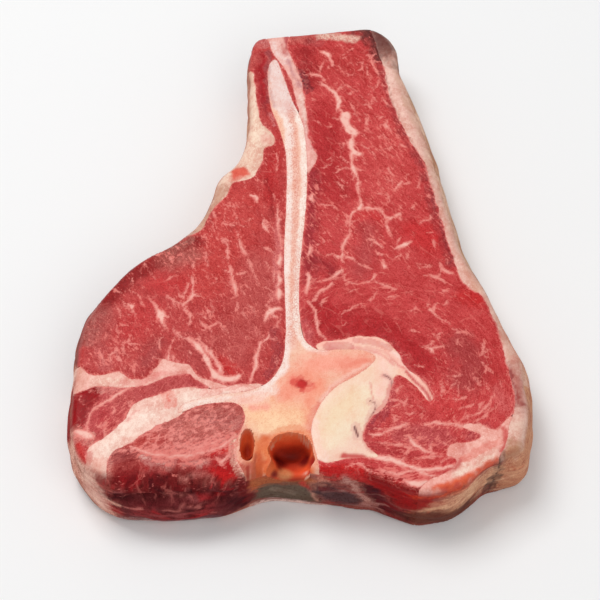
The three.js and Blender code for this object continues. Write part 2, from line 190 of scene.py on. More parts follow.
# Veins of fat in the muscles: width in millimetres, then points, some with a width of their own
veins = [
    # strip loin: the long vein and its branches
    (1.5, [(8, 91.5, 1), (11, 90.5, 2.4), (12, 88, 1.6), (13.3, 84.5, 1.2)]),
    (1.0, [(1, 80, 0.6), (5, 79.7), (8, 79.5, 1.4), (9.5, 77.5, 1)]),
    (2.0, [(8, 75.6, 1.2), (10, 74.2, 1.6), (12.5, 71.6, 2), (14.3, 69.2, 2.4), (15.4, 66.6, 2.6),
        (14.8, 63.4, 2)]),
    (1.3, [(15, 64, 1.4), (16.4, 61.6, 1.2), (17.6, 59, 2)]),
    (1.6, [(21.4, 51.4, 1.6), (20.8, 49.4, 1.4), (20.3, 47, 2)]), (1.0, [(12.5, 58.4), (15, 57.6)]),
    (4.0, [(18.2, 59.4, 4.4), (17.4, 57, 4), (18.6, 54.6, 3.2), (20.2, 51.6, 4.2), (21.6, 50.8, 3)]),
    (2.6, [(20.4, 49), (20.2, 46, 2.8), (20.3, 43, 2.4), (21.6, 41, 3.2), (24, 41.2, 0.8)]),
    (1.6, [(20.2, 41.2, 2), (19.9, 38, 1.3), (19.8, 35.6, 1.4), (20.4, 33.6, 2.6), (21.2, 31.4, 1.7),
        (22.2, 28.6, 1.2), (22.3, 26, 1.7), (22.5, 22.4, 1), (23, 19.2, 1.3), (23.1, 16.6, 1.7),
        (22.6, 14.8, 2.4)]),
    (1.0, [(17.4, 33.8, 0.5), (20, 33.6), (24.4, 33, 0.5)]),
    (1.6, [(22.6, 14.6), (20.4, 13.6, 1.6), (19.5, 11.6, 1.2), (19.2, 8.6, 0.8), (19, 5.6, 0.8),
        (18.8, 3, 0.8), (17.4, 0.6, 1.3), (16.5, -2, 1.5), (15.9, -5, 1.1), (15.8, -7.6, 1.5),
        (16.6, -9.6, 0.7)]),
    (1.2, [(12.6, -6.4, 0.6), (14.4, -6.8, 1.6), (15.8, -7)]),
    (1.5, [(22.8, 14.8), (26, 15, 1.5), (29, 14.7, 1), (30.8, 13.8, 1.3), (32.2, 12, 0.9),
        (33.4, 10.3, 1.6), (36, 11.2, 1.1), (37.6, 12.3, 1.6)]),
    (0.8, [(37.6, 12), (38.2, 10.4), (39, 8.8)]),
    (1.3, [(33.2, 10), (32.4, 8.2, 1), (33.4, 6, 1.6), (34, 3.4, 0.7), (35, 1.6, 0.4)]),
    (0.8, [(30.2, 28), (31, 25.4)]), (1.2, [(36.4, 24.4, 0.7), (38, 26, 1.4), (39, 28, 1)]),
    (0.9, [(41.6, 31), (41, 29)]), (0.7, [(42, 21), (43, 20)]), (0.7, [(32, 24), (34, 21.4)]),
    (1.2, [(16.6, 20.8), (18.4, 20.4)]), (0.7, [(8, 16.9), (10.6, 16.8), (13, 15.2), (14.6, 14)]),
    (0.7, [(13.6, 11), (14.2, 9.4)]), (0.8, [(9, 3.6), (10.4, 4.6)]), (0.7, [(10.8, 37.8), (13, 39.6)]),
    (0.6, [(24, 38.4), (25, 36)]), (0.7, [(32, 44.8), (34, 43), (36.4, 45)]),
    (1.2, [(26, 0.9, 0.9), (28, 0.2), (29.6, -1.6, 1.4), (31.4, -2.6, 0.8)]),
    (2.0, [(36, -3.6, 0.9), (38, -2.5, 1.8), (40, -1.5, 2.4), (41.4, -0.4, 1)]),
    (0.9, [(28.6, -4.8), (30.2, -6.6, 1.2), (32.8, -6.1)]), (1.6, [(31, -8.8, 1), (32, -11.4, 2)]),
    (1.3, [(17.6, -6.8, 0.8), (19.4, -7.6, 1.5), (20.6, -9.2)]),
    (0.7, [(20.6, -9.2), (24, -11), (28.4, -13.2)]),
    (1.5, [(5.6, -18.6, 0.5), (8.4, -17.6, 0.8), (11.6, -16.7, 1), (14, -14.8, 1.7), (15.6, -13, 1.2)]),
    (1.1, [(5.2, -26.4, 0.8), (6.6, -23.6), (9, -21.6), (12, -19.2, 1.3)]),
    (1.0, [(16, -16), (18, -18.4), (21, -19.2, 0.7)]),
    (1.0, [(23.6, -18.6, 0.8), (26.4, -17.8), (27.6, -15.4, 1.2)]),
    (1.1, [(27.4, -17.4), (30.6, -19.4), (35.4, -21, 0.6)]), (0.9, [(29.8, -14), (32, -14.3)]),
    (0.7, [(39.8, -10.8), (42, -12.6)]), (0.6, [(43.6, -10), (47.4, -10.6)]),
    (1.0, [(46, -15.6, 0.7), (49, -15.5), (51.4, -16.2, 1.2), (54.4, -18.2, 0.6)]),
    (1.2, [(52.2, -9.6, 0.9), (53, -12, 1.2), (55, -13.8, 1.5), (57.4, -14.4, 0.8)]),
    (0.7, [(54.8, -7.8), (56, -10)]), (0.7, [(7.4, -29), (8.6, -26.6), (10.4, -24.8)]),
    (0.6, [(15, -33), (17, -31), (20, -29), (22.4, -28)]), (1.3, [(16, -37), (16.4, -36.6)]),
    (1.6, [(46.4, -46.5, 1), (48, -47.6, 1.8), (48.2, -49.2, 1)]),
    (1.1, [(47.6, -46.3), (50, -46.6), (52.6, -46, 0.6)]), (0.7, [(47.8, -40.4), (51.4, -42.8)]),
    (0.7, [(49, -51), (51.8, -53.4)]), (0.9, [(48, -30.6, 1.6), (50.4, -33), (55, -36.6, 0.6)]),
    (0.6, [(56, -38.4), (58.4, -40)]), (0.7, [(60, -39.4), (62.4, -41.2)]),
    (0.9, [(67.6, -43.4), (67, -46), (66, -49.6)]), (0.9, [(66, -53), (67.8, -55), (69.6, -57.2)]),
    (0.9, [(53, -59), (56, -58.5), (58.6, -58)]), (0.6, [(50.6, -62), (53, -63.2)]),
    (0.9, [(54, -68), (57, -68.4), (60, -67.2)]), (0.6, [(60.2, -64), (61.2, -62)]),
    (1.1, [(67, -61.6), (68, -64)]), (0.8, [(59, -75.4), (63.6, -74), (67, -71), (69.2, -66.8)]),
    (0.8, [(62.6, -77), (67, -74.4), (70.2, -70)]), (0.6, [(57, -72.4), (60.6, -71), (63, -68.4)]),
    (0.6, [(55, -77), (60, -75.8)]), (0.6, [(68.6, -68), (70.6, -66)]), (0.8, [(72, -60), (73, -62.4)]),
    (0.7, [(43, -71), (44.6, -73.4)]),
    (1.5, [(44.6, -78.6, 0.8), (49, -77.9, 1.6), (53, -78.3, 1.2), (58.6, -79, 1.4)]),
    (1.3, [(24.8, -82.6, 1), (28, -82.6, 1.6), (31, -81.2, 1), (35, -79.6, 1.4), (38.4, -78.4, 0.9)]),
    (0.9, [(26, -79.8), (28.4, -80.6), (30.6, -80.2)]), (0.8, [(33.6, -77), (36, -75.6)]),
    (0.8, [(32, -71.6), (36.4, -70)]), (0.8, [(36, -68.6), (40, -71)]),
    (1.0, [(35, -64.6, 1.4), (37, -62.4)]), (0.7, [(28.6, -72.6), (31.4, -71)]),
    (2.0, [(39, -83.6, 1.4), (40.6, -86.4, 2.2), (42.4, -88, 2), (45, -89.3, 1.4), (48, -90.2, 0.8)]),
    (0.9, [(28, -85.4), (33, -86.5), (37, -87), (41, -88.8)]), (0.8, [(37, -84), (43.4, -83.6)]),
    (2.4, [(24, -90.8, 1.6), (27.6, -91.6), (31, -92.2, 2.8), (35, -93.6, 2.2), (39, -95, 2.2),
        (44, -96.2, 2), (50, -95.8, 1.8), (54, -94.8, 1.6)]),
    (1.3, [(29, -96.6, 0.8), (33, -97.8), (37, -97.4), (40.6, -96.4), (44.6, -98.2, 1.6), (50, -98.6)]),
    (2.6, [(36.6, -100.4, 1.2), (39.6, -101.8, 2.8), (43.6, -101.6, 2.4), (47, -100.6, 1.6)]),
    (0.9, [(32, -100), (35, -98.6)]), (0.9, [(40, -92.2), (45, -91.4), (51, -91.3)]),
    (0.9, [(49.6, -93.6), (53.4, -91.2)]), (1.0, [(16, -95.4), (21, -94), (24, -96.4), (28.4, -98.4)]),
    # strip loin: fatty spots near the bone
    (2.0, [(4.6, 21.6, 1), (4.4, 20, 2), (5, 18.4, 1)]),
    (1.8, [(3.4, -2.4, 1), (4, -4.6, 1.8), (3, -6.6, 1)]), (0.8, [(6, -2.4), (7.4, -1.2)]),
    (1.7, [(2.6, -14.4, 1.2), (3.4, -17.2, 2), (2.6, -20.6, 1.6), (2.4, -23.4, 1)]),
    (1.0, [(5.6, -31), (6.8, -33.4)]), (0.7, [(6.6, 25.4), (7.4, 23.8)]), (1.3, [(4.4, 67.2), (6, 66.8)]),
    (0.7, [(5.6, 57), (7.8, 54.8)]), (0.8, [(4, 62), (4.6, 60.6)]),
    (0.8, [(17.6, 81.4), (19.6, 79.6), (21, 80)]), (0.7, [(17, 75), (20, 73.4), (22.6, 71.6)]),
    (0.7, [(28, 75), (29, 72.6)]), (1.4, [(34.4, 57.6), (33.6, 54.6), (36, 52)]),
    (1.2, [(20, 92.4), (21.6, 93.4)]), (0.8, [(15, 95.4), (18, 94.2)]),
    (0.7, [(19.6, 66), (22, 61), (23.4, 56)]), (0.7, [(14.6, 84.6), (17, 82)]),
    (1.2, [(37, 51), (39.6, 48)]), (0.7, [(30, 59), (33, 56)]),
    (1.1, [(27, 90), (29.6, 84), (31, 80, 0.6)]), (0.7, [(24.6, 86.4), (26.6, 83)]),
    (1.0, [(3, -27, 1.4), (5.4, -30), (6.4, -35, 1.4), (7, -40, 1.2), (9.4, -43, 1)]),
    (1.0, [(2.6, -37), (3.6, -40)]),
    # tenderloin
    (1.2, [(-55.6, -25, 0.6), (-54, -28, 1), (-52.6, -30.6, 1.6), (-51.4, -32.6, 4), (-50.6, -35, 2),
        (-49.4, -38, 1)]),
    (1.4, [(-51, -32.4, 2), (-48.4, -33.2, 0.8)]),
    (1.0, [(-66, -26), (-64.4, -27.6), (-62.4, -28.2, 2), (-62, -30.2), (-60.8, -32.8, 0.6)]),
    (0.9, [(-49.4, -24.2, 0.6), (-46.5, -26), (-44, -27.6), (-43, -28.4, 1.4)]),
    (1.1, [(-43.3, -28.4), (-42.4, -30.6), (-41, -32), (-40.3, -34.2), (-40.8, -37, 0.6)]),
    (1.2, [(-43, -28, 1.4), (-41, -26.4), (-40, -24.4, 1.8), (-38.4, -24), (-36.4, -24.8, 0.7)]),
    (1.1, [(-40, -24, 1.6), (-40, -21), (-39.8, -18), (-40.6, -15.4, 0.6)]),
    (2.4, [(-46, -39.4, 0.8), (-44, -41.4, 1), (-41, -43, 1.3), (-38.4, -44.4, 1.6), (-37, -46.4, 3),
        (-35.4, -49, 1.8), (-34, -52, 3.2), (-32.4, -55, 2), (-30.4, -58.6, 3.6)]),
    (1.5, [(-35, -46, 1), (-33.2, -48.2, 1.8), (-31, -51.4, 1.4), (-29.2, -54, 1.6), (-28.4, -56.6, 2)]),
    (0.8, [(-37.4, -43.4), (-36, -42)]),
    (1.0, [(-46, -42.2), (-47.2, -45, 0.8), (-47.7, -48), (-48.4, -51.4, 1.6)]),
    (0.7, [(-35, -39.2), (-33, -37.6), (-30.5, -36.2), (-28.4, -37.6), (-26, -40.6)]),
    (3.0, [(-29, -59.4, 3), (-25.6, -60.2, 3), (-22, -58.6, 2)]),
    (2.4, [(-12.8, -35.6, 0.8), (-12, -33, 2), (-10.6, -31, 3.2)]),
    (2.0, [(-10.6, -31, 2.6), (-8.4, -29.6, 1.6), (-7, -30.6, 0.8)]),
    (1.2, [(-10.8, -31, 1.6), (-9.4, -33.4), (-7.6, -34, 0.6)]),
    (1.0, [(-11.4, -30, 1.2), (-12.4, -28, 0.5)]), (1.2, [(-7, -34.6), (-8.4, -37.2), (-6.6, -38.4)]),
    (1.6, [(-14.4, -44.6, 1.2), (-15, -47.4), (-15.8, -50.6), (-16, -54, 2), (-17, -57),
        (-17.8, -60.4, 1)]),
    (1.1, [(-15, -53), (-13.4, -54.2)]), (1.3, [(-14, -44.8), (-12, -42.4, 1.6), (-11.6, -40.2, 1)]),
    (1.2, [(-9.4, -42.4), (-7.4, -43.6)]), (1.0, [(-8.6, -50), (-8.4, -53.4)]),
    (1.1, [(-23.6, 4.4, 0.6), (-23, 0.4), (-22, -3, 1.4), (-20.4, -5.8, 0.8)]),
    (0.7, [(-19.6, -8), (-18.4, -11), (-17, -14.6), (-16, -18.4)]),
    (0.9, [(-29.8, 1), (-28, -0.6), (-27.2, -3), (-27, -7.4, 1.2)]), (0.7, [(-36.6, 3), (-35, 1.4)]),
    (0.8, [(-35.6, -5), (-35, -8), (-34.8, -11.4)]),
    (1.1, [(-26.4, -10.8, 0.8), (-25.6, -13.4), (-24.8, -17), (-24, -21.4, 1.8), (-23.6, -25, 0.7)]),
    (1.0, [(-25, -15.2), (-22, -14.5), (-19.8, -14)]),
    (1.8, [(-18.8, 21, 2), (-17, 20, 2.2), (-16.4, 17.8, 1)]),
    (1.4, [(-14, 10, 0.8), (-13, 6, 1.8), (-12, 4, 0.7)]), (1.2, [(-14, -3), (-11.6, -3.6), (-9, -6.8)]),
    (0.7, [(-31.4, -16), (-31, -18.4)]), (0.6, [(-50, -18), (-48.4, -16), (-46, -15)]),
    (1.4, [(-58.4, -20.4), (-58, -20.6)]), (1.2, [(-51.4, -42.4), (-50.6, -42)]),
    (0.8, [(-67, -45), (-67, -47.6), (-69, -50.2), (-69, -53)]), (0.6, [(-60.6, -44.6), (-60.4, -48.4)]),
    (0.9, [(-73, -47.6), (-72, -51), (-71, -54)]), (0.9, [(-60.2, -54), (-59.8, -58.6)]),
    (0.5, [(-17, -36.6), (-16, -42)]), (0.5, [(-21, -40.6), (-18.4, -43)]),
    (0.9, [(-53.4, -50.4), (-51, -51.8)]), (2.0, [(-7, -5, 0.8), (-7.6, -9, 2.4), (-7.4, -12, 0.8)]),
    (2.2, [(-8, -14, 0.6), (-7.4, -17, 2.4), (-8.4, -20, 1.2), (-7.6, -23.4, 2.8), (-8.4, -26, 1)]),
    (1.0, [(-10.4, -12), (-9.6, -16), (-11, -20)]), (0.9, [(-10, -23), (-11.4, -27)]),
    (1.2, [(-8.8, 16, 0.7), (-8.2, 10, 1.5), (-7.8, 4, 1), (-7, -3, 1)]), (0.9, [(-14, 38), (-13, 35.6)]),
    (0.8, [(-17, 30), (-14.4, 26)]), (0.7, [(-26, 18), (-24, 16)]),
    (0.6, [(-9.4, 44), (-8.6, 39), (-9, 33)]), (0.7, [(-10.6, 22), (-9.4, 18)]),
    (0.7, [(-20, 9), (-18.4, 10.4)]), (0.7, [(-62, -42), (-64, -45)]), (0.5, [(-33, -26), (-32, -31)]),
    (0.5, [(-27, -44), (-25.4, -48)]), (0.6, [(-57, -37), (-55, -41)]),
    # chain and the muscle under the arm
    (1.2, [(-60, -62.6), (-65, -65.2, 1.6), (-70, -69, 1.3), (-74, -72.2, 1), (-75.6, -76),
        (-76, -80, 1)]),
    (3.0, [(-79.4, -80.6, 2), (-76.4, -82.4, 3.4), (-74, -83.4, 2)]), (1.0, [(-68.4, -63.4), (-64, -65)]),
    (0.9, [(-62.6, -73), (-60, -75)]),
    (1.2, [(-60, -87.4, 1.4), (-54, -89.6, 1.6), (-48, -90, 1.2), (-41, -90.4, 1.6), (-33, -89, 1),
        (-27, -86.4, 1.6), (-23.4, -83.4, 1.2)]),
    (0.9, [(-44, -85.6), (-38, -87.6), (-33, -86.4), (-27, -84)]),
    (0.8, [(-52, -91.6), (-46, -92.2), (-38, -92.6), (-32, -91)]),
    (0.8, [(-66, -90), (-62.6, -88.4), (-58, -89)]), (0.8, [(-46, -88.2), (-38, -89.2), (-30, -87.6)]),
    (1.4, [(-49, -93.8), (-45, -93), (-41, -94)]), (0.8, [(-55, -85), (-51, -87.4), (-50, -89.6)]),
    (1.6, [(-30, -91), (-27, -92.2), (-24.4, -89.6)]),
]

# Short threads of marbling placed by chance: the box they lie in, how many, and their direction in
# degrees with its spread
threads = [
    ((8, 56, -30, 92), 84, 40, 34), ((14, 40, 20, 92), 46, -52, 14),
    ((24, 72, -94, -40), 44, 30, 36), ((-74, -10, -54, 28), 90, -58, 32),
    ((-60, -24, -89, -71), 150, 28, 40), ((-82, -46, -86, -62), 22, 60, 40),
]
threadSizes = {"half": (0.8, 2.6), "bend": 0.35, "width": (0.35, 1.0)}
chance = np.random.default_rng(5)
for (x0, x1, y0, y1), count, turn, spread in threads:
    for number in range(count):
        x, y = chance.uniform(x0, x1), chance.uniform(y0, y1)
        angle = np.radians(chance.normal(turn, spread))
        run, bend = chance.uniform(*threadSizes["half"]), chance.normal(0, threadSizes["bend"])
        width = chance.uniform(*threadSizes["width"])
        ux, uy = np.cos(angle), np.sin(angle)
        start, end = (x - run * ux, y - run * uy), (x + run * ux, y + run * uy)
        veins.append((width, [start, (x - bend * uy, y + bend * ux), end]))

# Where fine flecks of fat lie closer or further apart: share, softness, width, points
fleckZones = [
    (0.35, 6, 14, [(11, 60), (11, 46), (11, 32)]), (0.25, 5, 12, [(14, -36), (30, -40), (42, -50)]),
    (0.2, 3, 9, [(37, -50), (42, -54)]), (0.72, 6, 14, [(36, 48), (34, 28), (26, 6)]),
    (0.3, 5, 12, [(44, 2), (50, -2)]), (0.8, 5, 14, [(38, -84), (54, -82)]),
    (0.7, 5, 12, [(33, -68), (36, -78)]), (0.55, 6, 16, [(62, -44), (68, -66)]),
    (0.75, 6, 18, [(-72, -48), (-64, -50)]), (0.6, 6, 26, [(-30, -30), (-44, -32)]),
    (0.3, 4, 10, [(-56, -22), (-46, -20)]), (0.5, 3, 14, [(-52, -82), (-28, -76)]),
    (1.2, 3, 5, [(-56, -89), (-40, -89.4), (-26, -85)]), (1.1, 3, 6, [(30, -97), (44, -100)]),
    (0.85, 3, 8, [(-64, -72), (-68, -78)]), (0.2, 2, 8, [(-78, -66), (-81, -76)]),
    (1.1, 1.6, 3.4, [(-3.6, 62), (-1.8, 34), (-2, 0), (-2.8, -44)]),
    (0.85, 3, 8, [(-26, 16), (-40, -6), (-50, -8)]), (0.25, 3, 6, [(-14, 88), (-14, 62)]),
    (0.8, 3, 6, [(5, 26), (4, 4), (4, -20)]),
]

# Colours on the walls, as strokes with colour, strength, softness, width and points: places along
# the wall and their height. First the near wall from left to right, under its fibres. Its maroon
# and brown is partly its dried colour and partly painted shade, as this wall faces away from the
# key light.
nearWallPaint = [
    ((150, 76, 68), 1, 1, 90, [(-90, 14), (0, 14), (90, 14)]),
    ((176, 112, 92), 1, 4, 14, [(-84, 24), (-78, 14), (-74, 4)]),
    ((150, 60, 55), 0.7, 3, 5, [(-70, 22), (-68, 12)]),
    ((108, 38, 40), 1, 5, 18, [(-58, 12), (-44, 12), (-26, 12)]),
    ((150, 44, 46), 0.9, 3, 4, [(-58, 14), (-46, 10), (-32, 13)]),
    ((222, 152, 132), 0.9, 5, 9, [(-84, 16), (-74, 12), (-70, 5)]),
    ((244, 196, 180), 0.9, 3, 5, [(-76, 22), (-72, 14), (-71, 8)]),
    ((176, 40, 40), 0.9, 3, 4, [(-70, 15), (-66, 9)]),
    ((206, 176, 172), 1, 3, 5, [(-62, 2.5), (-50, 3.6), (-36, 1.4)]),
    ((112, 76, 84), 0.8, 3, 3, [(-52, 6), (-40, 5), (-32, 7)]),
    # Painted shadow: a dark line in the crevice under the overhanging lip
    ((84, 10, 16), 1, 2, 4, [(-66, 19.5), (-44, 19), (-24, 19.5)]),
    ((120, 22, 24), 1, 3, 5, [(-68, 25), (-52, 24.5), (-36, 25), (-21, 26)]),
    ((226, 150, 140), 0.7, 1.4, 1.2, [(-56, 26.4), (-50, 25.6), (-44, 26.6)]),
    ((222, 140, 130), 0.6, 1.2, 1, [(-42, 24.6), (-36, 25.4), (-30, 24.4)]),
    ((96, 6, 12), 1, 1.6, 2, [(-64, 26), (-60, 24)]),
    ((206, 30, 30), 1, 1.6, 2, [(-30, 26.6), (-24, 25.4)]),
    ((90, 6, 12), 0.9, 1.4, 1.4, [(-50, 23.4), (-46, 22.4)]),
    ((214, 120, 112), 0.8, 1.2, 1, [(-62, 22.4), (-56, 22)]),
    ((110, 16, 20), 0.9, 2, 3, [(-60, 22.6), (-48, 22), (-30, 22.4)]),
    ((76, 8, 16), 1, 3, 7, [(-24, 14), (-19, 8)]), ((206, 128, 104), 0.9, 2, 5, [(-27, 1.5), (-18, 2.5)]),
    ((198, 92, 56), 1, 2, 7, [(-14.5, 27), (-14, 16)]),
    ((176, 92, 54), 1, 2, 7, [(-14, 19), (-4, 20), (3, 19)]),
    ((104, 84, 70), 1, 3, 14, [(-10, 10), (1, 9.4)]), ((140, 116, 100), 0.8, 2, 2, [(-9, 12), (-3, 10)]),
    ((214, 150, 130), 0.9, 1.4, 2, [(4, 14), (5.4, 8)]),
    ((196, 60, 50), 0.9, 1.2, 1.6, [(1.6, 17.4), (4, 15)]),
    ((240, 206, 196), 1, 2, 4, [(-16, 1.4), (8, 1.4)]),
    ((206, 132, 112), 0.9, 2, 5, [(7, 24), (7.5, 12)]), ((80, 50, 54), 1, 4, 12, [(10, 13), (16, 11)]),
    ((88, 14, 22), 1, 3, 10, [(26, 18), (31, 8)]),
    ((184, 128, 116), 0.95, 2, 4.4, [(17, 23), (21, 16), (25, 9)]),
    ((212, 156, 122), 1, 4, 18, [(54, 12), (66, 14)]),
    ((222, 168, 132), 0.9, 3, 6, [(44, 13), (52, 16), (60, 18)]),
    ((200, 36, 34), 1, 2, 5, [(9, 26), (20, 26), (28, 23)]),
    ((178, 0, 2), 1, 3, 8, [(29, 25), (36, 21.6), (44, 21)]),
    ((124, 12, 18), 1, 4, 8, [(32, 12), (38, 8)]),
    ((224, 84, 46), 1, 3, 3.6, [(42, 21), (48, 23), (56, 25), (68, 26)]),
    ((206, 60, 36), 0.8, 2, 2, [(44, 17), (50, 20)]),
    # Painted shade: dark brown along the foot of the wall at the near right
    ((92, 30, 24), 1, 4, 9, [(38, 7), (48, 7), (56, 4)]), ((160, 88, 68), 0.8, 3, 3, [(56, 1), (70, 1)]),
    # Painted shade: a dark line in the crease between the corner fat and the cap's lump
    ((86, 56, 50), 1, 2, 3.4, [(70.6, 27), (70.6, 14), (69, 5)]),
    # The second stroke here is painted shade along the foot
    ((208, 146, 112), 1, 3, 18, [(78, 20), (79, 8)]), ((140, 86, 70), 0.7, 3, 4, [(74, 2), (84, 2)]),
    ((228, 196, 178), 0.8, 3, 4, [(78, 27.5), (82, 26)]),
]

# The strokes that lie over the fibres
nearWallOver = [
    ((150, 4, 8), 0.85, 3, 7, [(30, 24), (37, 17), (45, 19)]),
    ((90, 58, 58), 0.75, 4, 9, [(11, 13), (17, 10)]),
    ((196, 140, 130), 0.7, 1.6, 2, [(16, 24), (20.6, 16), (24, 10)]),
    # Painted shade: brown along the foot of the wall at the near right
    ((124, 66, 50), 0.75, 4, 7, [(43, 7), (52, 6), (60, 4)]),
    ((226, 172, 138), 0.6, 4, 9, [(52, 17), (60, 18), (67, 18)]),
    # Painted shade: a dark line in the crease between the corner fat and the cap's lump
    ((82, 52, 46), 0.85, 2, 2.6, [(70.8, 27), (70.4, 14), (69, 4)]),
    ((240, 188, 170), 0.8, 4, 7, [(-77, 23), (-74, 14), (-71, 6)]),
    ((112, 16, 18), 0.9, 1.6, 3.4, [(-20.6, 25), (-19.4, 16), (-18, 9)]),
    ((176, 96, 60), 0.5, 2, 3, [(-14, 21), (-9, 20)]),
    # Painted shade: brown along the foot of the wall at the near right
    ((104, 52, 38), 0.9, 3, 7, [(42, 9), (52, 8.6), (60, 6)]),
]
leftWallOver = [
    ((150, 18, 24), 0.9, 3, 10, [(-63, 21), (-70, 19), (-79, 20)]),
    ((190, 112, 98), 0.8, 3, 6, [(-62, 6), (-76, 5), (-86, 6)]),
    ((236, 180, 160), 0.9, 3, 8, [(-84, 23), (-88, 14), (-90, 6)]),
    ((240, 196, 178), 0.9, 2, 5, [(-56, 27), (-57.4, 15), (-58, 4)]),
]
# Painted shade on the dark facet at the far right corner
farWallOver = [((118, 70, 62), 0.9, 7, 22, [(34, 20), (44, 12)])]

# The right wall from near to far, under its streaks. Its nearer part is painted lighter and its
# upper band lighter as painted light, its foot darker as painted shade
rightWallPaint = [
    ((218, 160, 134), 1, 6, 40, [(-70, 14), (-40, 14), (-20, 14)]),
    ((206, 158, 124), 1, 6, 40, [(-10, 14), (90, 14)]),
    ((232, 190, 170), 0.8, 3, 7, [(-60, 26), (90, 26)]), ((170, 118, 92), 0.6, 4, 6, [(-60, 2), (90, 2)]),
    # Painted shade on the dark facet at the far right corner
    ((118, 70, 62), 0.9, 9, 26, [(97, 20), (106, 14)]),
]

# Fibres and dried folds that lie level along the near wall, placed by chance: where they start and
# end, how many, their heights and their colours
wallFibres = [
    (-70, -20, 44, (1.5, 25),
     [(206, 116, 108), (64, 8, 16), (178, 30, 36), (150, 70, 70), (92, 14, 24)]),
    (8, 42, 16, (2, 22), [(176, 116, 108), (58, 20, 32), (150, 24, 28)]),
    (42, 84, 26, (2, 24), [(232, 184, 152), (170, 108, 82), (206, 96, 66), (150, 88, 66)]),
    (-84, -66, 12, (3, 25), [(232, 170, 150), (190, 90, 82), (170, 116, 100)]),
]
fibreSizes = {"half": (2, 7), "tilt": 1.2, "strength": (0.5, 0.95), "width": (0.3, 1.3), "sag": 0.6}
for start, end, count, heights, tones in wallFibres:
    for turn in range(count):
        x, z = chance.uniform(start, end), chance.uniform(*heights)
        half, tilt = chance.uniform(*fibreSizes["half"]), chance.normal(0, fibreSizes["tilt"])
        strength = chance.uniform(*fibreSizes["strength"])
        width = chance.uniform(*fibreSizes["width"])
        middle = (x, z + chance.normal(0, fibreSizes["sag"]))
        points = [(x - half, z - tilt), middle, (x + half, z + tilt)]
        nearWallPaint.append((tones[turn % len(tones)], strength, 0.9, width, points))

# Level streaks on the other walls, placed by chance
meatStreaks = {
    "height": (1.5, 25.5), "half": (2, 8), "strength": (0.3, 0.8), "soft": 1.2, "width": (0.4, 2),
    "tones": [(206, 126, 112), (96, 26, 30), (176, 56, 54), (216, 158, 138), (120, 60, 54)],
}
fatStreaks = {
    "height": (1.5, 26), "half": (2, 10), "strength": (0.4, 0.85), "soft": 1.4, "width": (0.5, 3),
    "tones": [(236, 202, 180), (182, 124, 96), (222, 158, 130), (176, 104, 84), (238, 196, 172)],
    "stray": 0.6,       # how far a streak's start strays in height
}
farWallPaint, leftWallPaint = [], []
for paint, start, end, count, streaks in ((farWallPaint, -22, 34, 34, meatStreaks),
                                          (leftWallPaint, -62, 100, 90, meatStreaks),
                                          (rightWallPaint, -62, 98, 80, fatStreaks)):
    for turn in range(count):
        along, z = chance.uniform(start, end), chance.uniform(*streaks["height"])
        half, strength = chance.uniform(*streaks["half"]), chance.uniform(*streaks["strength"])
        width = chance.uniform(*streaks["width"])
        first = z + chance.normal(0, streaks["stray"]) if "stray" in streaks else z
        middle = z + chance.normal(0, 1)
        tone = streaks["tones"][turn % len(streaks["tones"])]
        points = [(along - half, first), (along, middle), (along + half, z)]
        paint.append((tone, strength, streaks["soft"], width, points))
nearWallPaint += nearWallOver
leftWallPaint += leftWallOver
farWallPaint += farWallOver


# From 0 to 1 with a soft start and a soft end
def eased(share):
    return share * share * (3 - 2 * share)


# Random numbers from -1 to 1 on a lattice of that size, blended smoothly between its corners. The
# large numbers only shuffle the bits of a corner's place.
def softNoise(places, size, seed):
    scaled = places / size
    cell = np.floor(scaled).astype(np.int64)
    part = eased(scaled - cell)
    total = np.zeros(len(places))
    for corner in np.ndindex(2, 2, 2):
        at = cell + np.array(corner)
        mixed = at[:, 0] * 73856093 ^ at[:, 1] * 19349663 ^ at[:, 2] * 83492791 ^ seed * 2654435761
        mixed = (mixed ^ (mixed >> 13)) * 1274126177 & 0xFFFFFFFF
        mixed = (mixed ^ (mixed >> 16)) * 2246822519 & 0xFFFFFFFF
        value = (mixed ^ (mixed >> 15)) % 65536 / 32767.5 - 1
        weight = np.prod(np.where(np.array(corner) == 1, part, 1 - part), axis=1)
        total += value * weight
    return total


# Such noises laid over each other, each given as its amount, size and seed
def layeredNoise(places, layers):
    return sum(amount * softNoise(places, size, seed) for amount, size, seed in layers)


# Places from their x and y, lying flat
def flatPlaces(x, y):
    return np.stack([x.ravel(), y.ravel(), np.zeros(x.size)], axis=1)


# A centripetal Catmull-Rom curve through the points, sampled at even steps along its length
def smoothLine(points, closed, step, samples=24):
    p = np.array(points, float)
    if closed:
        p = np.vstack([p[-1:], p, p[:2]])
    else:
        p = np.vstack([2 * p[:1] - p[1:2], p, 2 * p[-1:] - p[-2:-1]])
    gap = np.maximum(np.linalg.norm(np.diff(p[:, :2], axis=0), axis=1) ** 0.5, 1e-4)[:, None]
    a, b, c, d = p[:-3], p[1:-2], p[2:-1], p[3:]
    g0, g1, g2 = gap[:-2], gap[1:-1], gap[2:]
    leave = ((b - a) / g0 - (c - a) / (g0 + g1) + (c - b) / g1) * g1
    arrive = ((c - b) / g1 - (d - b) / (g1 + g2) + (d - c) / g2) * g1
    t = np.linspace(0, 1, samples, endpoint=False)[:, None, None]
    curve = (b + leave * t + (3 * (c - b) - 2 * leave - arrive) * t ** 2
             + (2 * (b - c) + leave + arrive) * t ** 3)
    curve = np.vstack([curve.transpose(1, 0, 2).reshape(-1, p.shape[1]), c[-1:]])
    run = np.concatenate([[0], np.cumsum(np.linalg.norm(np.diff(curve[:, :2], axis=0), axis=1))])
    even = np.linspace(0, run[-1], max(3, int(round(run[-1] / step)) + 1))
    return np.stack([np.interp(even, run, column) for column in curve.T], axis=1)


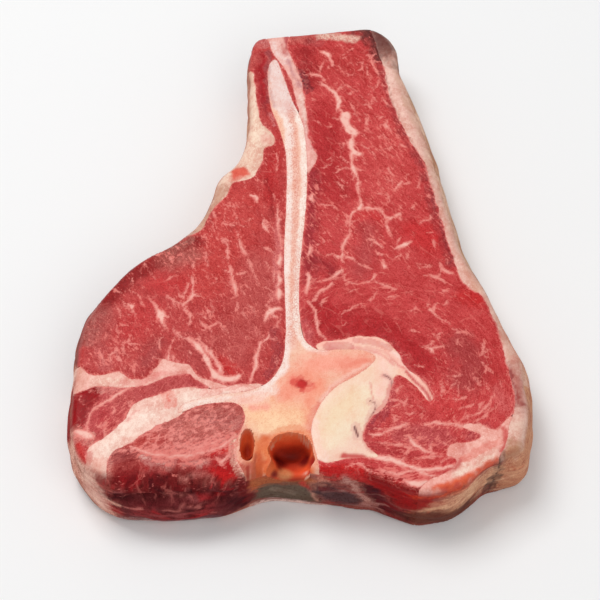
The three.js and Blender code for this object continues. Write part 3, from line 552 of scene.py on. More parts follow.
# Which places lie in the box around a line, made larger by the margin
def closeTo(line, margin, x, y):
    low, high = line[:, :2].min(0) - margin, line[:, :2].max(0) + margin
    return (x > low[0]) & (x < high[0]) & (y > low[1]) & (y < high[1])


# From the nearest point of a straight stretch to each place: that point's share of the stretch,
# which is the place's projection on it held between 0 and 1, and the way from it in x and y
def fromStretch(ax, ay, bx, by, px, py):
    dx, dy = bx - ax, by - ay
    t = np.clip(((px - ax) * dx + (py - ay) * dy) / (dx * dx + dy * dy + 1e-12), 0, 1)
    return t, px - ax - t * dx, py - ay - t * dy


# Distance in millimetres from each place to a closed line, positive inside it, where a ray to the
# right crosses the line an odd number of times
def distanceTo(line, x, y, reach=14.0):
    near = np.full(x.shape, reach ** 2)
    inside = np.zeros(x.shape, bool)
    use = closeTo(line, reach, x, y)
    px, py = x[use], y[use]
    best, odd = near[use], inside[use]
    for (ax, ay), (bx, by) in zip(line[:-1, :2], line[1:, :2]):
        _, awayX, awayY = fromStretch(ax, ay, bx, by, px, py)
        best = np.minimum(best, awayX ** 2 + awayY ** 2)
        if ay != by:
            crossing = (py - ay) * (bx - ax) / (by - ay) + ax
            odd = odd ^ (((ay > py) != (by > py)) & (px < crossing))
    near[use], inside[use] = best, odd
    return np.where(inside, 1, -1) * np.sqrt(near)


# How deep each place lies inside a stroke along the points: half its width less the distance to
# it, where the width runs from point to point
def strokeDepth(points, width, x, y, reach):
    depth = np.full(x.shape, -reach)
    line = np.array([tuple(p) + (width,) * (3 - len(p)) for p in points], float)
    if len(line) > 2:
        line = smoothLine(line, False, 1.5)
    use = closeTo(line, reach + line[:, 2].max() / 2, x, y)
    px, py, best = x[use], y[use], depth[use]
    for (ax, ay, aw), (bx, by, bw) in zip(line[:-1], line[1:]):
        t, awayX, awayY = fromStretch(ax, ay, bx, by, px, py)
        best = np.maximum(best, (aw + t * (bw - aw)) / 2 - np.hypot(awayX, awayY))
    depth[use] = best
    return depth


# The grid of places that every piece is cut from
gridStep = steakSlice["step"]
gridX, gridY = np.meshgrid(np.arange(-90, 90.1, gridStep), np.arange(-114, 110.1, gridStep))

# How the seams and the veins stray from their drawn places. The sawn bone strays less.
seamWaver = {"size": 3.1, "amount": 0.34, "seed": 1}
veinWaver = {"size": 2.0, "amount": 0.42, "seed": 70}
boneShare = 0.3


# Places moved by two noises of their own, one along x and one along y
def waver(x, y, size, amount, seed):
    flat = flatPlaces(x, y)
    first = layeredNoise(flat, [(1, size, seed), (0.5, size * 0.4, seed + 1)])
    second = layeredNoise(flat, [(1, size, seed + 2), (0.5, size * 0.4, seed + 3)])
    return x + amount * first.reshape(x.shape), y + amount * second.reshape(x.shape)


seamX, seamY = waver(gridX, gridY, **seamWaver)

rimBlend = {
    "reach": 40.0,      # how far inside the rim its distance is measured
    "rounds": 40,       # rounds of smoothing of the way out
    "softness": 4.0,    # square millimetres added to the distances that weigh the swelling
}


# For each grid place: distance inside the rim, the way out of it, and the wall's swelling, which
# is the mean of the rim points' own, weighed by one over the sixth power of their distance
def rimFields():
    line = smoothLine(rimPoints, True, 1.5)
    inside = distanceTo(line, gridX, gridY, rimBlend["reach"])
    gy, gx = np.gradient(-inside, gridStep)
    for turn in range(rimBlend["rounds"]):
        gx = (gx + sum(np.roll(gx, shift, axis) for shift in (-1, 1) for axis in (0, 1))) / 5
        gy = (gy + sum(np.roll(gy, shift, axis) for shift in (-1, 1) for axis in (0, 1))) / 5
    length = np.hypot(gx, gy) + 1e-9
    swell, weight = np.zeros(gridX.shape), np.full(gridX.shape, 1e-12)
    for px, py, size in line[:-1]:
        w = 1.0 / ((gridX - px) ** 2 + (gridY - py) ** 2 + rimBlend["softness"]) ** 3
        swell += w * size
        weight += w
    return inside, gx / length, gy / length, swell / weight


rimInside, outX, outY, rimSwell = rimFields()
print("rim measured")


# Each piece as a field that is positive inside it: what earlier seams leave, within its own
def pieceFields():
    fields = {}
    rest = rimInside
    for name, points in seams.items():
        share = boneShare if name == "bone" else 1
        x, y = gridX + share * (seamX - gridX), gridY + share * (seamY - gridY)
        own = distanceTo(smoothLine(points, True, 1.2), x, y)
        fields[name] = np.minimum(rest, own)
        rest = np.minimum(rest, -own)
    for name, points in muscles.items():
        line = np.array(points + points[:1], float)
        fields[name] = np.minimum(rest, distanceTo(line, gridX, gridY))
    return fields


fields = pieceFields()
print("seams cut")


# The value of a grid field at places between its points, blended from the four around
def sample(field, x, y):
    u = np.clip((x - gridX[0, 0]) / gridStep, 0, field.shape[1] - 1.001)
    v = np.clip((y - gridY[0, 0]) / gridStep, 0, field.shape[0] - 1.001)
    i, j = u.astype(int), v.astype(int)
    s, t = u - i, v - j
    return (field[j, i] * (1 - s) * (1 - t) + field[j, i + 1] * s * (1 - t)
            + field[j + 1, i] * (1 - s) * t + field[j + 1, i + 1] * s * t)


# Faces of one grid square by which of its corners lie inside: corners 0 to 3 anticlockwise from
# the lower left, crossings 4 to 7 on the sides after them. Then the cut edges, inside on the left.
squareFaces = {
    1: [(0, 4, 7)], 2: [(4, 1, 5)], 4: [(5, 2, 6)], 8: [(7, 6, 3)],
    3: [(0, 1, 5), (0, 5, 7)], 6: [(4, 1, 2), (4, 2, 6)], 12: [(7, 5, 2), (7, 2, 3)],
    9: [(0, 4, 6), (0, 6, 3)], 5: [(0, 4, 7), (5, 2, 6)], 10: [(4, 1, 5), (7, 6, 3)],
    7: [(0, 1, 2), (0, 2, 6), (0, 6, 7)], 14: [(1, 2, 3), (1, 3, 7), (1, 7, 4)],
    13: [(2, 3, 0), (2, 0, 4), (2, 4, 5)], 11: [(3, 0, 1), (3, 1, 5), (3, 5, 6)],
    15: [(0, 1, 2), (0, 2, 3)],
}
squareCuts = {
    1: [(4, 7)], 2: [(5, 4)], 4: [(6, 5)], 8: [(7, 6)], 3: [(5, 7)], 6: [(6, 4)], 12: [(7, 5)],
    9: [(4, 6)], 5: [(4, 7), (6, 5)], 10: [(5, 4), (7, 6)], 7: [(6, 7)], 14: [(7, 4)],
    13: [(4, 5)], 11: [(5, 6)],
}
crossingMargin = 0.04      # share of a side that a crossing keeps from its ends


# The part of the grid where a field is positive: places, triangles and the edges cut through.
# A crossing divides its side in the ratio of the values at the two ends.
def cutOut(field):
    rows, columns = field.shape
    value = np.where(np.abs(field) < 1e-6, 1e-6, field)
    inside = value > 0
    nodes = rows * columns
    ids = np.arange(nodes).reshape(rows, columns)
    across = ids + nodes          # crossing on the side towards +X
    upward = ids + 2 * nodes      # crossing on the side towards +Y
    local = [ids[:-1, :-1], ids[:-1, 1:], ids[1:, 1:], ids[1:, :-1],
             across[:-1, :-1], upward[:-1, 1:], across[1:, :-1], upward[:-1, :-1]]
    case = (inside[:-1, :-1] * 1 + inside[:-1, 1:] * 2 + inside[1:, 1:] * 4 + inside[1:, :-1] * 8)
    faces, cuts = [], []
    for code, shapes in squareFaces.items():
        chosen = case == code
        for shape in shapes:
            faces.append(np.stack([local[k][chosen] for k in shape], axis=1))
        for cut in squareCuts.get(code, []):
            cuts.append(np.stack([local[k][chosen] for k in cut], axis=1))
    faces, cuts = np.vstack(faces), np.vstack(cuts)
    t = np.zeros((2, rows, columns))
    t[0, :, :-1] = value[:, :-1] / (value[:, :-1] - value[:, 1:] + 1e-12)
    t[1, :-1, :] = value[:-1, :] / (value[:-1, :] - value[1:, :] + 1e-12)
    t = np.clip(t, crossingMargin, 1 - crossingMargin) * gridStep
    x = np.concatenate([gridX.ravel(), (gridX + t[0]).ravel(), gridX.ravel()])
    y = np.concatenate([gridY.ravel(), gridY.ravel(), (gridY + t[1]).ravel()])
    used, flat = np.unique(faces.ravel(), return_inverse=True)
    return x[used], y[used], flat.reshape(-1, 3), np.searchsorted(used, cuts)


# Roughness of the walls: amount, size and seed of each noise, and how it is drawn out level
wallRoughness = [(0.45, 7.0, 12, 1), (0.25, 1.6, 13, 0.3), (0.5, 3.0, 14, 0.3)]


# The wall's swelling: nothing at the upper rim, most below half height, less at the foot, as the
# sine of a share of half a wave
def swellAt(z):
    down = np.clip((steakSlice["height"] - z) / steakSlice["height"], 0, 1)
    return np.sin(steakSlice["swellSpan"] * np.pi * down ** 0.9)


# Places near the rim moved out by the swelling and the roughness of the wall, and in by the
# crevice, which is a bell curve over the height on a flat-topped one along the wall
def pushedOut(x, y, z):
    inside = sample(rimInside, x, y)
    fade = np.clip(1 - inside / steakSlice["swellReach"], 0, 1) ** 2
    out = sample(rimSwell, x, y) * swellAt(z)
    along = np.exp(-((x - crevice["x"]) / crevice["reach"]) ** 4) * (y < crevice["below"])
    places = np.stack([x, y, z], axis=1)
    level = crevice["z"] + layeredNoise(places, [crevice["wander"]])
    uneven = layeredNoise(places * crevice["stretch"], [crevice["uneven"]])
    deep = crevice["depth"] * (crevice["mean"] + uneven)
    out = out - deep * along * np.exp(-((z - level) / crevice["height"]) ** 2)
    rough = 0
    for amount, size, seed, drawn in wallRoughness:
        rough = rough + amount * softNoise(places * (drawn, drawn, 1), size, seed)
    lower = np.clip((steakSlice["height"] - z) / 3, 0, 1)
    out = (out + rough * lower) * fade
    return x + sample(outX, x, y) * out, y + sample(outY, x, y) * out


# The share of the way from a pit's middle to its edge, and its depth there. A pit without a front
# stays as wide towards the near side. Depths run from place to place along Y.
def pitShare(x, y, pit):
    ux, uy = (x - pit["at"][0]) / pit["half"][0], y - pit["at"][1]
    front = uy / pit["front"] if pit["front"] else 0 * uy
    share = np.hypot(ux, np.where(uy > 0, uy / pit["half"][1], front))
    share = share * (1 + layeredNoise(flatPlaces(x, y), [pitUneven]))
    return share, np.interp(y, *zip(*pit["depths"]))


# Places inside a pit, carried down its bowl: the share turns into an angle, whose sine gives the
# distance from the middle and whose cosine gives the depth. Places close to the edge move onto it.
def hollowed(x, y, z, pit):
    share, depth = pitShare(x, y, pit)
    back = (y > pit["at"][1]) | (pit["front"] > 0)
    radius = np.hypot(x - pit["at"][0], np.where(back, y - pit["at"][1], 0))
    near = radius * np.abs(1 - 1 / np.maximum(share, 0.01)) < 0.5 * gridStep
    angle = np.minimum(share, 1) * np.pi / 2
    wider = np.where(share < 1, np.sin(angle), share) / np.maximum(share, 1e-6)
    wider = np.where(near, 1 / share, wider)
    share = np.where(near, 1, share)
    newX = pit["at"][0] + (x - pit["at"][0]) * wider
    newY = np.where(back, pit["at"][1] + (y - pit["at"][1]) * wider, y)
    return newX, newY, z - depth * np.where(share < 1, np.cos(angle), 0) ** 0.8


# A colour of the screen, 0 to 255, as light
def light(colour):
    part = np.array(colour, float) / 255
    return np.where(part <= 0.04045, part / 12.92, ((part + 0.055) / 1.055) ** 2.4)


# Colours with another laid over them by the share that it covers
def laidOver(colours, colour, cover):
    return colours * (1 - cover[:, None]) + light(colour) * cover[:, None]


# Waviness of the painted strokes: size and seed of their waver, and the noises of their edges
strokeEdges = {"size": 2.4, "seed": 60, "amount": 0.7, "patchy": [(0.6, 3.4, 66), (0.4, 1.2, 67)]}
wallStrokes = {"wavy": 1.2, "across": 0.35}


# Colours laid over each other: each layer holds a colour, how much of it shows, how soft its edge
# is in millimetres, the width of its stroke and the stroke's points. Their waviness is drawn out
# along the walls by the last number.
def painted(colours, x, y, layers, wavy=strokeEdges["amount"], across=1.0):
    wavyX, wavyY = waver(x * across, y, strokeEdges["size"], wavy, strokeEdges["seed"])
    wavyX += x * (1 - across)
    patchy = layeredNoise(flatPlaces(x * across, y), strokeEdges["patchy"])
    patchy = patchy * wavy / strokeEdges["amount"]
    for colour, strength, soft, width, points in layers:
        depth = strokeDepth(points, width, wavyX, wavyY, soft + 2)
        cover = np.clip(depth / soft + 0.5 + 0.3 * patchy, 0, 1)
        colours = laidOver(colours, colour, strength * eased(cover))
    return colours


# Where the pieces' colours meet on the walls: how the seams wander with height, and how softly
# they blend
sideBlend = {"stretch": (0.35, 0.35, 1), "wander": [(3.2, 3.0, 81), (1.6, 1.1, 82)], "soft": 0.7}


# The colours that the pieces have on the walls, darker than their cut faces partly from drying and
# partly as painted shade, as a mean with weights that fall off outside each piece as e to the minus
# distance
def sideColours(x, y, z):
    places = np.stack([x, y, z], axis=1) * sideBlend["stretch"]
    along = layeredNoise(places, sideBlend["wander"])
    atX, atY = x - along * sample(outY, x, y), y + along * sample(outX, x, y)
    total, weights = np.zeros((len(x), 3)), np.full((len(x), 1), 1e-9)
    for name, settings in pieceSettings.items():
        outside = np.clip(sample(fields[name], atX, atY), -12, 0)
        weight = np.exp(outside / sideBlend["soft"])[:, None]
        total += weight * light(settings["side"])
        weights += weight
    return total / weights


# Walls with strokes of their own, by their places in the drawing
wallLimits = {
    "nearY": -60, "nearX": -79, "farY": 60, "farX": 30, "endY": 100, "left": -14, "right": 30,
}


# The side colours with the strokes of the near, far, left and right wall over them
def paintedSides(x, y, px, py, pz):
    sides = sideColours(x, y, pz)
    at = wallLimits
    near = (y < at["nearY"]) & (x > at["nearX"])
    far = (y > at["farY"]) & (np.abs(x) < at["farX"]) | (y > at["endY"])
    left = (x < at["left"]) & ~near & ~far
    right = (x > at["right"]) & ~near & ~far
    for wall, run, paint in ((near, px, nearWallPaint), (far, px, farWallPaint),
                             (left, py, leftWallPaint), (right, py, rightWallPaint)):
        sides[wall] = painted(sides[wall], run[wall], pz[wall], paint, **wallStrokes)
    return sides, near


# A number for each point of a piece, for its material to read
def addAttribute(piece, name, values):
    kind = "FLOAT_VECTOR" if values.ndim == 2 else "FLOAT"
    attribute = piece.data.attributes.new(name, kind, "POINT")
    attribute.data.foreach_set("vector" if values.ndim == 2 else "value",
                               values.astype(np.float32).ravel())


# A piece as a smooth mesh in metres, with its middle over the frame's origin
def newPiece(name, px, py, pz, faces):
    middle = steakSlice["drawnMiddle"]
    points = np.stack([px - middle[0], py - middle[1], pz], axis=1) / 1000
    mesh = bpy.data.meshes.new(name)
    mesh.from_pydata(points, [], faces)
    mesh.polygons.foreach_set("use_smooth", np.ones(len(faces), bool))
    mesh.set_sharp_from_angle(angle=np.radians(52))
    mesh.validate()
    piece = bpy.data.objects.new(name + "_cut", mesh)
    bpy.context.scene.collection.objects.link(piece)
    return piece


# The height of the cut face: the crown, which falls with the cube of the nearness to the rim, the
# piece's own rise from its seams, its waves and veins, and the rounding of the upper edge as a
# quarter of an ellipse, wider at the near left
def topHeight(settings, x, y, inside, own):
    s = steakSlice
    places = flatPlaces(x, y)
    top = s["height"] - s["crown"] * np.clip(1 - inside / s["crownReach"], 0, 1) ** 3
    top += settings["rise"] * (1 - np.exp(-np.maximum(own, 0) / settings["roundness"]))
    for size, depth, seed in settings["waves"]:
        top += depth * softNoise(places, size, seed) * np.clip(own / 1.5, 0.15, 1)
    top += settings.get("veinRise", 0) * np.clip(sample(veinDepth, x, y) + 0.3, 0, 1)
    roll = s["roll"]
    rolled = np.exp(-((x - roll["x"]) / roll["reach"]) ** 4) * (y < roll["below"])
    roundIn = np.clip(1 - inside / (s["edgeIn"] + roll["in"] * rolled), 0, 1)
    drop = s["edgeDown"] + roll["down"] * rolled
    top -= drop * (1 - np.sqrt(np.maximum(1 - roundIn ** 2, 0)))
    sag = np.clip(1 - inside / roll["sagIn"], 0, 1)
    top -= roll["sag"] * rolled * sag * (1 + softNoise(places, 5.0, 90))
    return top


# How far the colours of a pit reach: shares of its width, and millimetres above its ground
pitEdge = {
    "reach": 1.3, "soft": 0.2, "above": 3.4, "top": 28, "topSoft": 1.2, "from": 27.5, "blend": 0.18,
    "spotReach": 1.5, "spotSoft": 0.3, "spotAbove": 3.6,
    "bare": 1.1, "bareBelow": 27,     # inside these, no flecks and no seams
}

# Marbling that shows on the near wall: above this height, within this box
nearMarbling = {"share": 0.9, "from": 15, "soft": 6, "x": -44, "half": 26}

# Where the seams and the grain of the walls show, in millimetres: a seam's least distance from the
# rim, the value far from any, the width of its line, and where the walls' grain starts
showing = {"seamGap": 0.05, "noSeam": 9.0, "seamLine": 0.15, "grainFrom": 27.2, "grainIn": 8}


# One piece of the slice: its part of the grid on the cut face, the same below, and rows of its
# outline down the wall between them
def buildPiece(name, settings):
    s = steakSlice
    pits = settings.get("pits", [])
    x, y, faces, cuts = cutOut(fields[name])
    border = np.unique(cuts)
    inside = sample(rimInside, x, y)
    own = sample(fields[name], x, y)
    short = np.zeros(len(x))
    short[border] = np.where(inside[border] < gridStep, np.maximum(inside[border], 0), 0)
    x, y = x + short * sample(outX, x, y), y + short * sample(outY, x, y)
    inside = inside - short
    top = topHeight(settings, x, y, inside, own)
    plainX, plainY = pushedOut(x, y, top)
    topX, topY = plainX, plainY
    for pit in pits:
        topX, topY, top = hollowed(topX, topY, top, pit)
    footIn = np.clip(1 - inside / s["footIn"], 0, 1)
    low = s["footUp"] * (1 - np.sqrt(np.maximum(1 - footIn ** 2, 0)))
    lowX, lowY = pushedOut(x, y, low)

    rows = s["wallRows"]
    share = np.linspace(0, 1, rows + 1)[1:-1, None]
    wallZ = top[border] + (low[border] - top[border]) * share
    flatX, flatY = (np.broadcast_to(values[border], wallZ.shape).ravel() for values in (x, y))
    wallX, wallY = pushedOut(flatX, flatY, wallZ.ravel())
    settle = (1 - share) ** 3
    wallX = wallX.reshape(wallZ.shape) + settle * (topX - plainX)[border]
    wallY = wallY.reshape(wallZ.shape) + settle * (topY - plainY)[border]

    count, ring = len(x), len(border)
    px = np.concatenate([topX, wallX.ravel(), lowX])
    py = np.concatenate([topY, wallY.ravel(), lowY])
    pz = np.concatenate([top, wallZ.ravel(), low])
    spot = np.searchsorted(border, cuts)
    levels = [cuts]
    for row in range(rows - 1):
        levels.append(count + row * ring + spot)
    levels.append(count + (rows - 1) * ring + cuts)
    walls = []
    for upper, lower in zip(levels[:-1], levels[1:]):
        walls.append(np.stack([upper[:, 1], upper[:, 0], lower[:, 0]], axis=1))
        walls.append(np.stack([upper[:, 1], lower[:, 0], lower[:, 1]], axis=1))
    below = faces[:, ::-1] + count + (rows - 1) * ring
    piece = newPiece(name, px, py, pz, np.vstack([faces, *walls, below]))

    # From here on: what the materials read, for the top, the wall's rows and the underside
    def overAll(values):
        return np.concatenate([values, np.tile(values[border], rows - 1), values])

    drawnX = np.concatenate([x, flatX, x])
    drawnY = np.concatenate([y, flatY, y])
    flank = np.clip((s["flankFrom"] - pz) / s["flankSoft"], 0, 1)
    flank[:count] *= (inside < s["flankIn"]) * (len(pits) == 0)
    flank[-count:] = inside < s["underIn"]
    colours = np.tile(light(settings["colour"]), (len(pz), 1))
    colours = painted(colours, drawnX, drawnY, settings["paint"],
                      settings.get("wavy", strokeEdges["amount"]))
    sides, near = paintedSides(drawnX, drawnY, px, py, pz)
    colours = colours * (1 - flank[:, None]) + sides * flank[:, None]
    seamShows = (own < inside - showing["seamGap"]) & ((x < s["dried"][0]) | (y < s["dried"][1]))
    seamIn = overAll(np.where(seamShows, own, showing["noSeam"]))
    lining = np.zeros(len(pz))
    for pit in pits:
        colours = pitColours(colours, px, py, pz, pit)
        within = (pitShare(px, py, pit)[0] < pitEdge["bare"]) & (pz < pitEdge["bareBelow"])
        lining = np.maximum(lining, within)
    vein = np.maximum(sample(veinDepth, drawnX, drawnY), showing["seamLine"] - seamIn)
    marbling = nearMarbling
    streaked = marbling["share"] * np.clip((pz - marbling["from"]) / marbling["soft"], 0, 1)
    streaked = streaked * (np.abs(px - marbling["x"]) < marbling["half"]) * near
    flecked = np.maximum(streaked, 1 - flank) * (1 - lining)
    steep = np.clip(showing["grainFrom"] - pz, 0, 1) * (overAll(inside) < showing["grainIn"])
    straight, other, turned = grainAt(settings, drawnX, drawnY, pz, steep)
    for key, values in {
        "tint": colours, "vein": vein - 3 * flank, "seam": seamIn + 3 * np.maximum(flank, lining),
        "fleck": sample(fleckShare, drawnX, drawnY) * flecked, "wall": flank,
        "grain": straight, "arc": other, "turned": turned,
    }.items():
        addAttribute(piece, key, values)
    return piece


# The lining of a pit, its own colour darkened the deeper it goes as painted shade, with spots of
# colour at places of their own
def pitColours(colours, px, py, pz, pit):
    e = pitEdge
    share, depth = pitShare(px, py, pit)
    ground = steakSlice["height"] - depth * np.maximum(1 - share ** 2, 0) ** 0.4
    lining = (share < e["reach"]) & (pz > ground - e["above"]) & (pz < e["top"])
    down = np.clip((e["from"] - pz[lining]) / (e["from"] - pit["floor"]), 0, 1)
    within = np.clip((e["reach"] - share[lining]) / e["soft"], 0, 1)
    within = within * np.clip((e["top"] - pz[lining]) / e["topSoft"], 0, 1)
    for at, colour in pit["lining"]:
        cover = np.clip((down - at) / e["blend"], 0, 1) * within
        colours[lining] = laidOver(colours[lining], colour, cover)
    for colour, radius, cx, cy, cz in pit["spots"]:
        far = np.sqrt((px - cx) ** 2 + (py - cy) ** 2 + (pz - cz) ** 2)
        cover = np.clip(1.5 - far / radius, 0, 1) * (pz > ground - e["spotAbove"])
        cover = cover * np.clip((e["spotReach"] - share) / e["spotSoft"], 0, 1)
        colours = laidOver(colours, colour, eased(cover))
    return colours


# Grain of the tissue: how it is drawn out by default, on the walls, and around a middle
grainDefaults = {"slope": 75, "stretch": (0.8, 1.2), "upright": 0.8, "walls": (0.45, 0.45, 1.5),
                 "arc": 36, "turnSoft": 12}


# Along and across the muscle fibres, in millimetres: straight at the slope of the piece, then
# level along the walls or around a middle in the lower strip loin, and the share of that second
def grainAt(settings, x, y, z, steep):
    g = grainDefaults
    slope = np.radians(settings.get("slope", g["slope"]))
    long, wide = settings.get("stretch", g["stretch"])
    along = x * np.cos(slope) + y * np.sin(slope)
    across = -x * np.sin(slope) + y * np.cos(slope)
    straight = np.stack([along * long, across * wide, z * g["upright"]], axis=1)
    other, share = np.stack([x, y, z], axis=1) * g["walls"], steep
    if "turning" in settings:
        cx, cy, level = settings["turning"]
        angle, radius = np.arctan2(y - cy, x - cx), np.hypot(x - cx, y - cy)
        around = np.stack([angle * g["arc"] * long, radius * wide, z * g["upright"]], axis=1)
        other = np.where(steep[:, None] > 0.02, other, around)
        share = np.maximum(steep, np.clip((level - y) / g["turnSoft"] + 0.5, 0, 1))
    return straight, other, share


# The depth of every place inside the nearest vein of fat, and the share of fine flecks there.
# Veins taper to a quarter of their width where their ends have no width of their own.
def veinFields():
    wavyX, wavyY = waver(gridX, gridY, **veinWaver)
    depth = np.full(gridX.shape, -4.0)
    for width, points in veins:
        tapered = []
        for k, point in enumerate(points):
            own = width * (0.25 if k in (0, len(points) - 1) else 1)
            tapered.append(tuple(point) if len(point) > 2 else (*point, own))
        depth = np.maximum(depth, strokeDepth(tapered, width, wavyX, wavyY, 4.0))
    share = np.full(gridX.shape, 0.5)
    for amount, soft, width, points in fleckZones:
        cover = np.clip(strokeDepth(points, width, gridX, gridY, soft + 2) / soft + 0.5, 0, 1)
        share = share * (1 - cover) + amount * cover
    return depth, share


veinDepth, fleckShare = veinFields()
print("veins drawn")

